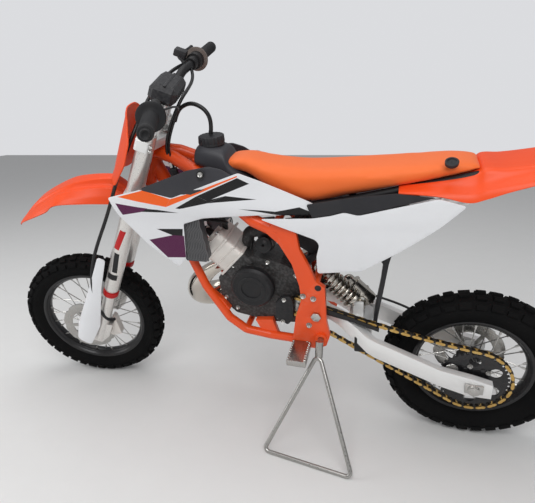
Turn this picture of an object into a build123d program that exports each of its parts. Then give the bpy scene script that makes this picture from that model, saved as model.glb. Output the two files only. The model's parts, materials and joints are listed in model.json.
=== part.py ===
from build123d import *

import os
from math import asin, atan2, cos, degrees, hypot, pi, radians, sin, sqrt

# A children's motocross bike that stands on a triangle stand plugged into its left side.
# Every piece is drawn on the upright bike with straight steering: X forward, Y to the rider's
# left, Z up, and the origin on the ground below the rear axle. The last section turns the
# steering, leans the bike on its stand and writes the pieces.
os.makedirs("parts", exist_ok=True)

# ---------------------------------------------------------------- driving dimensions
wheelbase = 1032.0
rake = 24.0                    # steering axis from the vertical
lean = 12.0                    # towards the stand
steer_at_rest = 11.0           # to the left
running_gap = 0.35             # between pieces that turn on each other
seat_gap = 0.3                 # between pieces that are bolted together

front_tyre_radius = 215.0
front_tyre_width = 66.0
front_crown_radius = 37.0
front_bead_radius = 152.0
rear_tyre_radius = 200.0
rear_tyre_width = 72.0
rear_crown_radius = 40.0
rear_bead_radius = 127.0
bead_width = 38.0
rim_depth = 10.0
rim_lip = 6.0
rim_lip_wall = 3.0

axle_radius = 7.5
hub_barrel_radius = 17.0
hub_flange_radius = 29.0
hub_flange_wall = 4.0
front_hub_width = 64.0
rear_hub_width = 62.0
spoke_radius = 1.6
nipple_radius = 3.0
nipple_length = 12.0
front_spokes = 32
rear_spokes = 28
spoke_cross = 38.0             # degrees that a spoke runs round the hub

disc_radius = 80.0
disc_wall = 3.0
front_disc_y = 50.0
rear_disc_y = -52.0

axle_lead = 42.0               # front axle ahead of the fork legs
clamp_offset = 11.5            # fork legs ahead of the steering axis
leg_spacing = 150.0
fork_leg_radius = 17.5
fork_outer_radius = 21.0
fork_outer_low = 189.0         # heights along the steering axis, from the axle's level
fork_outer_high = 650.0
lower_clamp_low = 468.0
lower_clamp_wall = 28.0
upper_clamp_low = 615.0
upper_clamp_wall = 24.0
stem_radius = 14.0
head_tube_radius = 25.0

bar_radius = 11.0
bar_height = 700.0             # along the steering axis
bar_centre_x = 6.0
bar_rise = 70.0
bar_pullback = 36.0
bar_width = 698.0
bar_bend_radius = 60.0
grip_length = 112.0
grip_radius = 15.0

chain_pitch = 12.7
rear_teeth = 40
drive_teeth = 11
chain_y = 57.0
chain_width = 11.0
chain_height = 9.0
drive_x = 400.0
drive_z = 355.0

pivot_x = 350.0
pivot_z = 345.0
pivot_radius = 8.0
swingarm_inner = 70.0
swingarm_wall = 18.0

frame_plate_inner = 66.0
frame_plate_wall = 14.0
cradle_radius = 11.0
spar_radius = 15.0
crank_x = 505.0
crank_z = 403.0
ignition_inner = 58.0
tread_depth = 9.0
lug_count = 30
lug_length = 26.0
lug_width = 21.0
lug_root = 3.0                 # how deep each lug starts inside the carcass
half_lug_pitch = 180 / lug_count
chain_plate_wall = 1.6
chain_plate_length = 17.0
cylinder_tilt = 42.0           # above the horizontal, leaning forward
case_left = 44.0
case_right = -46.0

fender_top_z = 706.0           # rear fender's top just behind the seat
fender_wall = 4.0
tank_half_width = 56.0
seat_half_width = 70.0
panel_wall = 4.0
stand_rod_radius = 5.0
stand_pin_radius = 7.0
peg_x = 385.0
peg_top = 268.0
stand_x = 338.0
stand_z = 286.0
shock_top_x = 352.0
shock_top_z = 430.0
shock_bolt_radius = 9.0

# ---------------------------------------------------------------- places
rear_axle = Vector(0, 0, rear_tyre_radius)
front_axle = Vector(wheelbase, 0, front_tyre_radius)
fork_forward = Vector(cos(radians(rake)), 0, sin(radians(rake)))
fork_up = Vector(-sin(radians(rake)), 0, cos(radians(rake)))
axle_offset = axle_lead + clamp_offset
steering_foot = front_axle - fork_forward * axle_offset
fork_plane = Plane(origin=steering_foot, x_dir=fork_forward, z_dir=fork_up)
side_plane = Plane(origin=(0, 0, 0), x_dir=(1, 0, 0), z_dir=(0, -1, 0))
leg_y = leg_spacing / 2


def across(centre):
    """The plane through a wheel's axle whose local x runs along the axle and y outwards."""
    return Plane(origin=centre, x_dir=(0, 1, 0), z_dir=(1, 0, 0))


def beside(centre, y):
    """The plane parallel to a wheel, at a distance y to the left, facing left."""
    return Plane(origin=(centre.X, y, centre.Z), x_dir=(-1, 0, 0), z_dir=(0, 1, 0))


def tube(points, radius, bend=0.0, mode=Mode.ADD):
    """Adds a round tube along straight runs that are joined by arcs."""
    with BuildLine() as route:
        if len(points) == 2:
            Line(*points)
        else:
            FilletPolyline(*points, radius=bend)
    with BuildSketch(Plane(origin=route.line @ 0, z_dir=route.line % 0)) as section:
        Circle(radius)
    sweep(section.sketch, path=route.wire(), mode=mode)


def side_slab(points, inner, outer, corner=0.0, mode=Mode.ADD):
    """Adds a plate with a side outline of (x, z) points between two distances to the left."""
    with BuildSketch(Plane(origin=(0, outer, 0), x_dir=(1, 0, 0), z_dir=(0, -1, 0))) as outline:
        Polygon(*points, align=None)
        if corner:
            fillet(outline.vertices(), corner)
    extrude(outline.sketch, amount=outer - inner, mode=mode)


def local(a, y, height):
    """A point given ahead of, left of and along the steering axis."""
    return fork_plane.from_local_coords(Vector(a, y, height))


# ---------------------------------------------------------------- wheels
def lug_planes(centre, radius, crown, lean, start):
    """Planes across the tread at one crown angle, one for each lug round the tyre."""
    planes = []
    low = crown - tread_depth - lug_root
    for index in range(lug_count):
        turn = radians(start + 360 / lug_count * index)
        outwards = Vector(cos(turn), 0, sin(turn))
        normal = outwards * cos(lean) + Vector(0, 1, 0) * sin(lean)
        foot = centre + outwards * (radius - crown) + normal * low
        planes.append(Plane(origin=foot, x_dir=(-sin(turn), 0, cos(turn)), z_dir=normal))
    return planes


def make_tyre(centre, radius, width, crown, bead):
    """A carcass with one middle row of lugs and a leaning row on each shoulder."""
    shoulder = radius - crown + sqrt(crown**2 - (width / 2) ** 2) - lug_root
    lip = bead + rim_lip
    half_bead = bead_width / 2 - rim_lip_wall
    half = width / 2 - lug_root
    lug_top = tread_depth + lug_root - (lug_length / 2) ** 2 / (2 * radius)
    side_lean = asin((width / 2 - lug_root) / crown) - asin(lug_width / 2 / crown)
    with BuildPart() as tyre:
        with BuildSketch(across(centre)):
            with BuildLine():
                Line((-half_bead, bead), (half_bead, bead))
                Line((half_bead, bead), (half_bead, lip))
                ThreePointArc((half_bead, lip), (half, (lip + shoulder) / 2), (half, shoulder))
                ThreePointArc((half, shoulder), (0, radius - tread_depth), (-half, shoulder))
                ThreePointArc((-half, shoulder), (-half, (lip + shoulder) / 2), (-half_bead, lip))
                Line((-half_bead, lip), (-half_bead, bead))
            make_face()
        revolve(axis=Axis(centre, (0, 1, 0)))
        for lean, start in ((0, -90), (side_lean, half_lug_pitch - 90), (-side_lean, half_lug_pitch - 90)):
            with BuildSketch(*lug_planes(centre, radius, crown, lean, start)) as row:
                Rectangle(lug_length, lug_width)
            extrude(row.sketch, amount=lug_top - crown + sqrt(crown**2 - (lug_width / 2) ** 2))
    return tyre


def make_spoked_rim(centre, bead, hub_width, count):
    """The rim with its spokes, nipples and hub, bored for the axle."""
    half = bead_width / 2
    inner = bead - rim_depth
    lip = bead + rim_lip
    hole_circle = hub_flange_radius - 4
    flange_y = hub_width / 2 - hub_flange_wall / 2
    with BuildPart() as wheel:
        with BuildSketch(across(centre)):
            Polygon(
                (-half, lip),
                (rim_lip_wall - half, lip),
                (rim_lip_wall - half, bead),
                (half - rim_lip_wall, bead),
                (half - rim_lip_wall, lip),
                (half, lip),
                (half, bead - 2),
                (half / 2, inner),
                (-half / 2, inner),
                (-half, bead - 2),
                align=None,
            )
            Rectangle(hub_width, hub_barrel_radius, align=(Align.CENTER, Align.MIN))
            with Locations((flange_y, 0), (-flange_y, 0)):
                Rectangle(hub_flange_wall, hub_flange_radius, align=(Align.CENTER, Align.MIN))
        revolve(axis=Axis(centre, (0, 1, 0)))
        spoke_planes = []
        nipple_planes = []
        for index in range(count):
            side = 1 if index % 2 else -1
            turn = spoke_cross if index % 4 < 2 else -spoke_cross
            rim_angle = radians(360 / count * index)
            hub_angle = rim_angle + radians(turn)
            start = centre + Vector(cos(hub_angle), 0, sin(hub_angle)) * hole_circle
            start = start + Vector(0, side * flange_y, 0)
            end = centre + Vector(cos(rim_angle), 0, sin(rim_angle)) * (inner + 1)
            end = end + Vector(0, side * 3, 0)
            spoke_length = (end - start).length
            spoke_planes.append(Plane(origin=start, z_dir=end - start))
            nipple_planes.append(Plane(origin=end, z_dir=start - end))
        with BuildSketch(*spoke_planes):
            Circle(spoke_radius)
        extrude(amount=spoke_length)
        with BuildSketch(*nipple_planes):
            Circle(nipple_radius)
        extrude(amount=nipple_length)
        with BuildSketch(beside(centre, hub_width / 2 + 1)):
            Circle(axle_radius + running_gap)
        extrude(amount=-hub_width - 2, mode=Mode.SUBTRACT)
    return wheel


def make_disc(centre, y, hub_face):
    """A brake disc on a carrier that reaches to the hub's face."""
    with BuildPart() as disc:
        with BuildSketch(beside(centre, y + disc_wall / 2)):
            Circle(disc_radius)
            with PolarLocations(0, 8):
                with Locations((disc_radius + 9, 0)):
                    Circle(12, mode=Mode.SUBTRACT)
            Circle(disc_radius - 26, mode=Mode.SUBTRACT)
            with PolarLocations(0, 6):
                with Locations(((disc_radius - 22 + hub_flange_radius - 8) / 2, 0)):
                    Rectangle(disc_radius - 14 - hub_flange_radius + 8, 9)
            Circle(hub_flange_radius)
            Circle(axle_radius + 4, mode=Mode.SUBTRACT)
        extrude(amount=-disc_wall)
        reach = abs(y) - disc_wall / 2 - hub_face
        towards = 1 if y < 0 else -1
        with BuildSketch(beside(centre, y + towards * disc_wall / 2)):
            Circle(hub_flange_radius)
            Circle(axle_radius + 4, mode=Mode.SUBTRACT)
        extrude(amount=towards * reach)
    return disc


front_tyre = make_tyre(
    front_axle, front_tyre_radius, front_tyre_width, front_crown_radius, front_bead_radius
)
rear_tyre = make_tyre(
    rear_axle, rear_tyre_radius, rear_tyre_width, rear_crown_radius, rear_bead_radius
)
front_spoked_rim = make_spoked_rim(front_axle, front_bead_radius, front_hub_width, front_spokes)
rear_spoked_rim = make_spoked_rim(rear_axle, rear_bead_radius, rear_hub_width, rear_spokes)
front_disc = make_disc(front_axle, front_disc_y, front_hub_width / 2)
rear_disc = make_disc(rear_axle, rear_disc_y, rear_hub_width / 2)

# ---------------------------------------------------------------- rear sprocket and chain
rear_pitch_radius = chain_pitch / 2 / sin(pi / rear_teeth)
drive_pitch_radius = chain_pitch / 2 / sin(pi / drive_teeth)
sprocket_wall = 4.0
sprocket_tip = rear_pitch_radius - chain_height / 2 - 0.6
sprocket_root = sprocket_tip - 4
carrier_radius = 30.0
with BuildPart() as rear_sprocket:
    with BuildSketch(beside(rear_axle, chain_y + sprocket_wall / 2)):
        Circle(sprocket_root)
        with PolarLocations(0, rear_teeth):
            with Locations((sprocket_root, 0)):
                Rectangle(8, 5)
        with PolarLocations(0, 6, start_angle=30):
            with Locations((52, 0)):
                Circle(13, mode=Mode.SUBTRACT)
        Circle(axle_radius + 4, mode=Mode.SUBTRACT)
    extrude(amount=-sprocket_wall)
    with BuildSketch(beside(rear_axle, chain_y - sprocket_wall / 2)):
        Circle(carrier_radius)
        Circle(axle_radius + 4, mode=Mode.SUBTRACT)
    extrude(amount=-(chain_y - sprocket_wall / 2 - rear_hub_width / 2))
    with BuildSketch(beside(rear_axle, chain_y + sprocket_wall / 2)):
        with PolarLocations(36, 6):
            Circle(4.5)
    extrude(amount=3)

# The chain runs along the tangents that touch both sprockets, and sags a little above.
drive_distance = hypot(drive_x, drive_z - rear_axle.Z)
drive_angle = degrees(atan2(drive_z - rear_axle.Z, drive_x))
spread = degrees(asin((rear_pitch_radius - drive_pitch_radius) / drive_distance))
upper_angle = radians(drive_angle - spread)
lower_angle = radians(drive_angle + spread)
chain_sag = 10.0


def on_circle(x, z, radius, angle):
    return (x + radius * cos(angle), z + radius * sin(angle))


def chain_loop(shift):
    """The chain's closed line, moved outwards by shift, as (x, z) arcs."""
    big = rear_pitch_radius + shift
    small = drive_pitch_radius + shift
    up_rear = on_circle(0, rear_axle.Z, big, upper_angle + pi / 2)
    up_drive = on_circle(drive_x, drive_z, small, upper_angle + pi / 2)
    low_rear = on_circle(0, rear_axle.Z, big, lower_angle - pi / 2)
    low_drive = on_circle(drive_x, drive_z, small, lower_angle - pi / 2)
    far_rear = on_circle(0, rear_axle.Z, big, radians(drive_angle) + pi)
    far_drive = on_circle(drive_x, drive_z, small, radians(drive_angle))
    middle = (
        (up_rear[0] + up_drive[0]) / 2 + chain_sag * sin(upper_angle),
        (up_rear[1] + up_drive[1]) / 2 - chain_sag * cos(upper_angle),
    )
    ThreePointArc(up_rear, middle, up_drive)
    ThreePointArc(up_drive, far_drive, low_drive)
    Line(low_drive, low_rear)
    ThreePointArc(low_rear, far_rear, up_rear)


with BuildLine() as chain_line:
    chain_loop(0)
chain_path = chain_line.wires()[0]
outer_links = round(chain_path.length / chain_pitch / 2)
inner_width = chain_width - 2 * chain_plate_wall
inner_height = chain_height - chain_plate_wall
with BuildPart() as chain:
    with BuildSketch(side_plane.offset(-chain_y - inner_width / 2)):
        with BuildLine():
            chain_loop(inner_height / 2)
        make_face()
        with BuildLine():
            chain_loop(-inner_height / 2)
        make_face(mode=Mode.SUBTRACT)
    extrude(amount=inner_width)
    with BuildSketch(side_plane.offset(-chain_y - chain_width / 2)) as outer_plates:
        for index in range(outer_links):
            place = chain_path @ (index / outer_links)
            heading = chain_path % (index / outer_links)
            turn = degrees(atan2(heading.Y, heading.X))
            with Locations(Location((place.X, place.Y, 0), (0, 0, turn))):
                Rectangle(chain_plate_length, chain_height)
    extrude(outer_plates.sketch, amount=chain_width)

with BuildPart() as drive_sprocket:
    with BuildSketch(side_plane.offset(-chain_y - sprocket_wall / 2)):
        with Locations((drive_x, drive_z)):
            Circle(drive_pitch_radius - chain_height / 2 - seat_gap)
    extrude(amount=sprocket_wall)
    with BuildSketch(side_plane.offset(-chain_y - sprocket_wall / 2 - 5)):
        with Locations((drive_x, drive_z)):
            Circle(10)
    extrude(amount=chain_y + sprocket_wall / 2 + 5 - case_left)

# ---------------------------------------------------------------- axles and pivot
axle_reach = swingarm_inner + swingarm_wall
with BuildPart() as rear_spindle:
    with BuildSketch(beside(rear_axle, axle_reach + 14)):
        Circle(axle_radius)
    extrude(amount=-2 * (axle_reach + 14))
    for side in (-1, 1):
        with BuildSketch(beside(rear_axle, side * (axle_reach + seat_gap))):
            RegularPolygon(13, 6)
        extrude(amount=side * 9)

lug_outer = leg_y + 13
with BuildPart() as front_spindle:
    with BuildSketch(beside(front_axle, lug_outer + 8)):
        Circle(axle_radius)
    extrude(amount=-2 * (lug_outer + 8))
    for side in (-1, 1):
        with BuildSketch(beside(front_axle, side * (lug_outer + seat_gap))):
            Circle(12)
        extrude(amount=side * 5)

pivot_centre = Vector(pivot_x, 0, pivot_z)
pivot_reach = frame_plate_inner + frame_plate_wall + seat_gap
with BuildPart() as pivot_bolt:
    with BuildSketch(beside(pivot_centre, pivot_reach)):
        Circle(pivot_radius)
    extrude(amount=-2 * pivot_reach)
    for side in (-1, 1):
        with BuildSketch(beside(pivot_centre, side * pivot_reach)):
            RegularPolygon(12, 6)
        extrude(amount=side * 6)

# ---------------------------------------------------------------- frame
plate_outer = frame_plate_inner + frame_plate_wall
head_low = lower_clamp_low + lower_clamp_wall + 3
head_high = upper_clamp_low - 3
plate_outline = [
    (440, 585), (408, 580), (392, 560), (386, 520), (364, 474), (351, 440), (330, 425),
    (326, 330), (318, 290), (326, 262), (345, 250), (398, 250), (408, 270),
    (398, 340), (384, 388), (388, 425), (404, 482), (432, 532), (462, 560),
]
spar_half = [(741, 12, 727), (690, 24, 717), (630, 41, 688), (492, 64, 580), (436, 66, 556)]
cradle_half = [(702, 10, 586), (690, 18, 546), (665, 50, 466), (632, 56, 388), (575, 60, 300),
               (532, 60, 268), (466, 60, 260), (392, 66, 262)]


def frame_tubes(half, radius, bend, mode=Mode.ADD):
    """The left and right run of a frame tube, or the room for them."""
    for side in (-1, 1):
        tube([(x, side * y, z) for x, y, z in half], radius, bend, mode)


with BuildPart() as frame:
    with BuildSketch(fork_plane.offset(head_low)):
        Circle(head_tube_radius)
    extrude(amount=head_high - head_low)
    frame_tubes(spar_half, spar_radius, 40)
    frame_tubes(cradle_half, cradle_radius, 24)
    for side in (-1, 1):
        inner = frame_plate_inner if side > 0 else -plate_outer
        side_slab(plate_outline, inner, inner + frame_plate_wall, 5)
        case_face = case_left + seat_gap if side > 0 else case_right - seat_gap
        low, high = sorted((case_face, side * 60))
        side_slab([(630, 386), (590, 350), (572, 324), (586, 314)], low, high)
        side_slab([(488, 262), (506, 300), (462, 306), (448, 262)], low, high)
    tube([(752, 0, 700), (690, 0, 560)], 17)
    tube([(392, -66, 262), (392, 66, 262)], cradle_radius, 0)
    tube([(440, -72, 573), (440, 72, 573)], 9)
    tube([(shock_top_x, -70, shock_top_z), (shock_top_x, 70, shock_top_z)], shock_bolt_radius)
    tube([(532, -60, 268), (532, 60, 268)], 8, 0)
    tube([(stand_x, plate_outer - 4, stand_z), (stand_x, plate_outer + 10, stand_z)], 14, 0)
    with BuildSketch(fork_plane.offset(head_low - 5)):
        Circle(stem_radius + running_gap)
    extrude(amount=head_high - head_low + 10, mode=Mode.SUBTRACT)
    with BuildSketch(fork_plane.offset(head_high)):
        Circle(60)
    extrude(amount=60, mode=Mode.SUBTRACT)
    with BuildSketch(beside(pivot_centre, plate_outer + 1)):
        Circle(pivot_radius + seat_gap)
    extrude(amount=-2 * plate_outer - 2, mode=Mode.SUBTRACT)
    with BuildSketch(beside(Vector(stand_x, 0, stand_z), plate_outer + 11)):
        Circle(stand_pin_radius + seat_gap)
    extrude(amount=-frame_plate_wall - 12, mode=Mode.SUBTRACT)

# The seat's side outline, whose lower line lies on the subframe's rails.
seat_top = [(560, 700), (548, 722), (508, 719), (462, 707), (395, 697), (330, 696), (188, 704),
            (95, 711), (48, 712)]
seat_bottom = [(38, 700), (52, 696), (113, 680), (184, 664), (279, 640), (372, 622), (452, 652),
               (505, 684)]
subframe_y = 46.0
rail_radius = 9.0
rail_drop = rail_radius + 2 * seat_gap
rail_line = [(404, 566)] + [(x, z - rail_drop) for x, z in reversed(seat_bottom[1:6])]
rail_line.append((10, fender_top_z - fender_wall - rail_radius - seat_gap))


strut_radius = 8.0
strut_low = (374, 474)
strut_high = (150, 648)
strut_slope = (strut_high[1] - strut_low[1]) / (strut_high[0] - strut_low[0])


def strut(side, gap=0.0, mode=Mode.ADD):
    """The lower strut of the subframe, or the room for it."""
    ends = [(x, side * subframe_y, z) for x, z in (strut_low, strut_high)]
    tube(ends, strut_radius + gap, 0, mode)


with BuildPart() as subframe:
    for side in (-1, 1):
        tube([(x, side * subframe_y, z) for x, z in rail_line], rail_radius, 12)
        strut(side)
        foot = side * (frame_plate_inner - seat_gap)
        tube([(404, side * 40, 566), (404, foot, 566)], 10)
        tube([(374, side * 40, 474), (374, foot, 474)], 10)
    tube([(60, -subframe_y, 684), (60, subframe_y, 684)], 7)
    tube([(279, -subframe_y, 630), (279, subframe_y, 630)], 7)
    tube([(374, -subframe_y, 474), (374, subframe_y, 474)], 7)

# ---------------------------------------------------------------- swingarm and shock absorber
arm_outline = [
    (376, 345), (366, 362), (350, 367), (334, 360), (322, 350), (215, 296), (72, 238),
    (0, 224), (-38, 214), (-38, 176), (10, 176), (68, 192), (213, 250),
    (322, 318), (350, 322), (368, 330),
]
arm_outer = swingarm_inner + swingarm_wall
chain_inner_face = chain_y - chain_width / 2
arm_front_outer = chain_inner_face - 2
arm_plan = [
    (376, 28), (376, arm_front_outer), (304, arm_front_outer), (262, 70), (232, arm_outer),
    (-38, arm_outer), (-38, swingarm_inner), (216, swingarm_inner), (242, 50), (278, 28),
]
with BuildPart() as swingarm:
    with BuildSketch(Plane.XY.offset(pivot_z - 200)) as plan:
        Polygon(*arm_plan, align=None)
        mirror(about=Plane.XZ)
    extrude(amount=260)
    with BuildSketch(side_plane.offset(-arm_outer - 1)):
        Polygon(*arm_outline, align=None)
    extrude(amount=2 * arm_outer + 2, mode=Mode.INTERSECT)
    side_slab([(282, 306), (262, 318), (228, 300), (226, 264), (262, 272), (284, 290)], -50, 50)
    side_slab([(246, 296), (274, 300), (270, 352), (248, 352)], -14, 14)
    side_slab([(230, 310), (300, 310), (300, 370), (230, 370)], -8, 8, mode=Mode.SUBTRACT)
    side_slab([(246, 290), (274, 290), (274, 309), (246, 309)], -14, 14)
    tube([(pivot_x, seat_gap - frame_plate_inner, pivot_z),
          (pivot_x, frame_plate_inner - seat_gap, pivot_z)], 11)
    for centre, radius in ((pivot_centre, pivot_radius), (rear_axle, axle_radius)):
        with BuildSketch(beside(centre, arm_outer + 10)):
            Circle(radius + seat_gap)
        extrude(amount=-2 * arm_outer - 20, mode=Mode.SUBTRACT)

shock_low = Vector(259, 0, 336)
shock_high = Vector(shock_top_x, 0, shock_top_z)
shock_dir = (shock_high - shock_low).normalized()
shock_length = (shock_high - shock_low).length
with BuildPart() as shock_absorber:
    with BuildSketch(Plane(origin=shock_low, z_dir=shock_dir)):
        Circle(7)
    extrude(amount=shock_length)
    with BuildSketch(Plane(origin=shock_low + shock_dir * 24, z_dir=shock_dir)):
        Circle(27)
    extrude(amount=shock_length - 52)
    for centre in (shock_low, shock_high):
        with BuildSketch(beside(centre, 7)):
            Circle(shock_bolt_radius + 7)
        extrude(amount=-14)
    with BuildSketch(beside(shock_high, 8)):
        Circle(shock_bolt_radius + seat_gap)
    extrude(amount=-16, mode=Mode.SUBTRACT)

# ---------------------------------------------------------------- engine
cylinder_up = Vector(cos(radians(cylinder_tilt)), 0, sin(radians(cylinder_tilt)))
crank = Vector(crank_x, 0, crank_z)


def cylinder_plane(distance):
    return Plane(origin=crank + cylinder_up * distance, x_dir=(0, 1, 0), z_dir=cylinder_up)


case_outline = [
    (596, 340), (560, 306), (470, 290), (398, 296), (382, 330), (378, 392),
    (392, 440), (440, 462), (505, 475), (560, 460), (600, 408),
]
with BuildPart() as crankcase:
    side_slab(case_outline, case_right, case_left, 10)
    with BuildSketch(cylinder_plane(40)):
        RectangleRounded(96, 84, 12)
    extrude(amount=32)
    with BuildSketch(beside(crank, ignition_inner - seat_gap)):
        Circle(50)
    extrude(amount=case_left - ignition_inner)
    tube([(500.6, 0, 524), (524, 0, 519), (534, 0, 472)], 15, 12)
    with BuildSketch(cylinder_plane(72)):
        Rectangle(200, 88)
    extrude(amount=80, mode=Mode.SUBTRACT)

with BuildPart() as cylinder:
    with BuildSketch(cylinder_plane(72)):
        RectangleRounded(92, 80, 14)
    extrude(amount=52)
with BuildPart() as cylinder_head:
    with BuildSketch(cylinder_plane(124)):
        RectangleRounded(92, 84, 20)
    extrude(amount=24)
    with BuildSketch(cylinder_plane(148)):
        Circle(26)
    extrude(amount=10)
    with BuildSketch(cylinder_plane(158)):
        Circle(9)
    extrude(amount=22)

with BuildPart() as ignition_cover:
    with BuildSketch(beside(crank, ignition_inner)):
        Circle(54)
    extrude(amount=20)
    chamfer(ignition_cover.faces().sort_by(Axis.Y)[-1].edges(), 6)
with BuildPart() as sprocket_cover:
    side_slab([(448, 330), (446, 372), (430, 392), (410, 394), (403, 372), (405, 330), (418, 312)],
              70, 82, 5)
    tube([(437, case_left + seat_gap, 345), (437, 71, 345)], 6)
with BuildPart() as clutch_cover:
    with BuildSketch(beside(Vector(460, 0, 378), case_right)):
        Circle(66)
    extrude(amount=-28)
    chamfer(clutch_cover.faces().sort_by(Axis.Y)[0].edges(), 6)
with BuildPart() as carburettor:
    tube([(500, 0, 524), (430, 0, 536)], 20)
    side_slab([(458, 486), (494, 482), (498, 548), (462, 553)], -24, 24, 5)
with BuildPart() as airbox:
    airbox_half = subframe_y - strut_radius - seat_gap
    side_slab([(396, 556), (330, 584), (170, 608), (150, 560), (198, 484), (330, 466), (396, 508)],
              -airbox_half, airbox_half, 8)
    tube([(429.6, 0, 536.1), (380, 0, 544.6)], 22)
    side_slab([(222, 490), (192, 490), (196, 470), (204, 400), (214, 320), (214, 306), (223, 306),
               (223, 322), (213, 402), (208, 470)], -30, 30)

port_height = 98.0              # along the cylinder, from the crank
port_face = 40.0 + seat_gap
cylinder_down = Vector(cylinder_up.Z, 0, -cylinder_up.X)
port = crank + cylinder_up * port_height + cylinder_down * port_face
pipe_route = [
    (port.X, port.Y, port.Z, 16), (646, -10, 396, 19), (684, -34, 352, 26), (684, -66, 314, 31),
    (640, -102, 294, 34), (560, -120, 306, 36), (470, -124, 340, 34), (390, -122, 400, 26),
    (320, -122, 452, 17), (250, -124, 500, 12),
]
pipe_end = Vector(*pipe_route[-1][:3])
silencer_end = Vector(-52, -126, 628)
silencer_dir = (silencer_end - pipe_end).normalized()
with BuildPart() as exhaust_pipe:
    for index, (x, y, z, radius) in enumerate(pipe_route):
        before = Vector(*pipe_route[max(index - 1, 0)][:3])
        after = Vector(*pipe_route[min(index + 1, len(pipe_route) - 1)][:3])
        if index == 0:
            after = before + cylinder_down
        if index == len(pipe_route) - 1:
            before = after - silencer_dir
        with BuildSketch(Plane(origin=(x, y, z), z_dir=after - before)):
            Circle(radius)
    loft()
with BuildPart() as silencer:
    with BuildSketch(Plane(origin=pipe_end + silencer_dir * seat_gap, z_dir=silencer_dir)):
        Circle(13)
    extrude(amount=60)
    with BuildSketch(Plane(origin=pipe_end + silencer_dir * 50, z_dir=silencer_dir)):
        Ellipse(29, 33)
    extrude(amount=(silencer_end - pipe_end).length - 50)
    with BuildSketch(Plane(origin=silencer_end, z_dir=-silencer_dir)):
        Circle(12)
    extrude(amount=70, mode=Mode.SUBTRACT)
    tube([(96, -104, 572), (96, -60, 586), (96, -47, 652)], 4, 10)
    tube([(x, -subframe_y, z) for x, z in rail_line], rail_radius + seat_gap, 12, Mode.SUBTRACT)

radiator_inner = 66.0
radiator_outer = 96.0
radiator_outline = [(676, 640), (620, 640), (602, 480), (658, 480)]
with BuildPart() as radiators:
    side_slab(radiator_outline, radiator_inner, radiator_outer, 6)
    tube([(672, 44, 494), (650, radiator_inner + 6, 494)], 6)
    frame_tubes(cradle_half, cradle_radius + seat_gap, 24, Mode.SUBTRACT)
    split(bisect_by=Plane(origin=(0, 40, 0), z_dir=(0, 1, 0)))
    mirror(about=Plane.XZ)

# ---------------------------------------------------------------- tank, seat and plastic covers
tank_outline = [
    (612, 712), (624, 724), (622, 744), (568, 744), (564, 692), (505, 677), (452, 645),
    (448, 600), (492, 596), (560, 652),
]
with BuildPart() as fuel_tank:
    side_slab(tank_outline, -tank_half_width, tank_half_width, 4)
    frame_tubes(spar_half, spar_radius + seat_gap, 40, Mode.SUBTRACT)
cap_base = Vector(597, 0, 744 + seat_gap)
with BuildPart() as fuel_cap:
    with BuildSketch(Plane.XY.offset(cap_base.Z)):
        with Locations((cap_base.X, 0)):
            Circle(30)
    extrude(amount=22)

with BuildPart() as seat:
    side_slab(seat_top + seat_bottom, -seat_half_width, seat_half_width, 4)
    with BuildSketch(Plane.XY.offset(600)):
        Polygon((562, -44), (562, 44), (440, 62), (330, 68), (180, 70), (36, 52), (36, -52),
                (180, -70), (330, -68), (440, -62), align=None)
    extrude(amount=150, mode=Mode.INTERSECT)

shroud_outline = [
    (815, 655), (735, 672), (664, 650), (512, 700), (365, 636), (318, 612), (355, 604),
    (468, 602), (600, 597), (646, 584), (655, 490), (677, 466), (737, 528), (795, 606),
]
# Seen from above, the left wall of shroud, cover and side panel is one flowing line.
wall_line = [(818, 138), (745, 131), (660, 116), (560, 98), (470, 84), (360, 77), (310, 77)]
panel_line = [(480, 92), (350, 86), (200, 88), (110, 91), (55, 89)]


def flowing_wall(line, low, high):
    """A standing wall that follows a line seen from above, panel_wall thick."""
    with BuildSketch(Plane.XY.offset(low)) as footprint:
        with BuildLine():
            outer = Spline(*line)
            inner = Spline(*[(x, y - panel_wall) for x, y in line])
            Line(outer @ 0, inner @ 0)
            Line(outer @ 1, inner @ 1)
        make_face()
    extrude(footprint.sketch, amount=high - low)


with BuildPart() as left_shroud:
    flowing_wall(wall_line, 440, 740)
    with BuildSketch(side_plane):
        Polygon(*shroud_outline, align=None)
    extrude(amount=-200, mode=Mode.INTERSECT)
    tube([(657, radiator_outer + seat_gap, 540), (657, 113, 540)], 6)
    tube([(540, tank_half_width + seat_gap, 668), (540, 93, 668)], 8)
with BuildPart() as right_shroud:
    mirror(left_shroud.part, about=Plane.XZ)

cover_outline = [(733, 675), (624, 710), (577, 716), (548, 708), (524, 702), (664, 654)]
with BuildPart() as tank_covers:
    flowing_wall(wall_line, 440, 740)
    with BuildSketch(side_plane):
        Polygon(*cover_outline, align=None)
    extrude(amount=-200, mode=Mode.INTERSECT)
    tube([(580, tank_half_width + seat_gap, 702), (580, 98, 702)], 6)
    mirror(about=Plane.XZ)

panel_outline = [
    (468, 596), (400, 569), (349, 548), (341, 536), (348, 504), (347, 458), (250, 474),
    (170, 536), (108, 590), (62, 640), (112, 654), (260, 611), (289, 617), (316, 608),
    (355, 600),
]
with BuildPart() as side_panels:
    flowing_wall(panel_line, 440, 700)
    with BuildSketch(side_plane):
        Polygon(*panel_outline, align=None)
    extrude(amount=-200, mode=Mode.INTERSECT)
    for x in (220, 310):
        z = strut_low[1] + (x - strut_low[0]) * strut_slope
        tube([(x, subframe_y, z), (x, 86, z)], 6)
    strut(1, seat_gap, Mode.SUBTRACT)
    split(bisect_by=Plane(origin=(0, subframe_y + 3, 0), z_dir=(0, 1, 0)))
    mirror(about=Plane.XZ)

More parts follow.
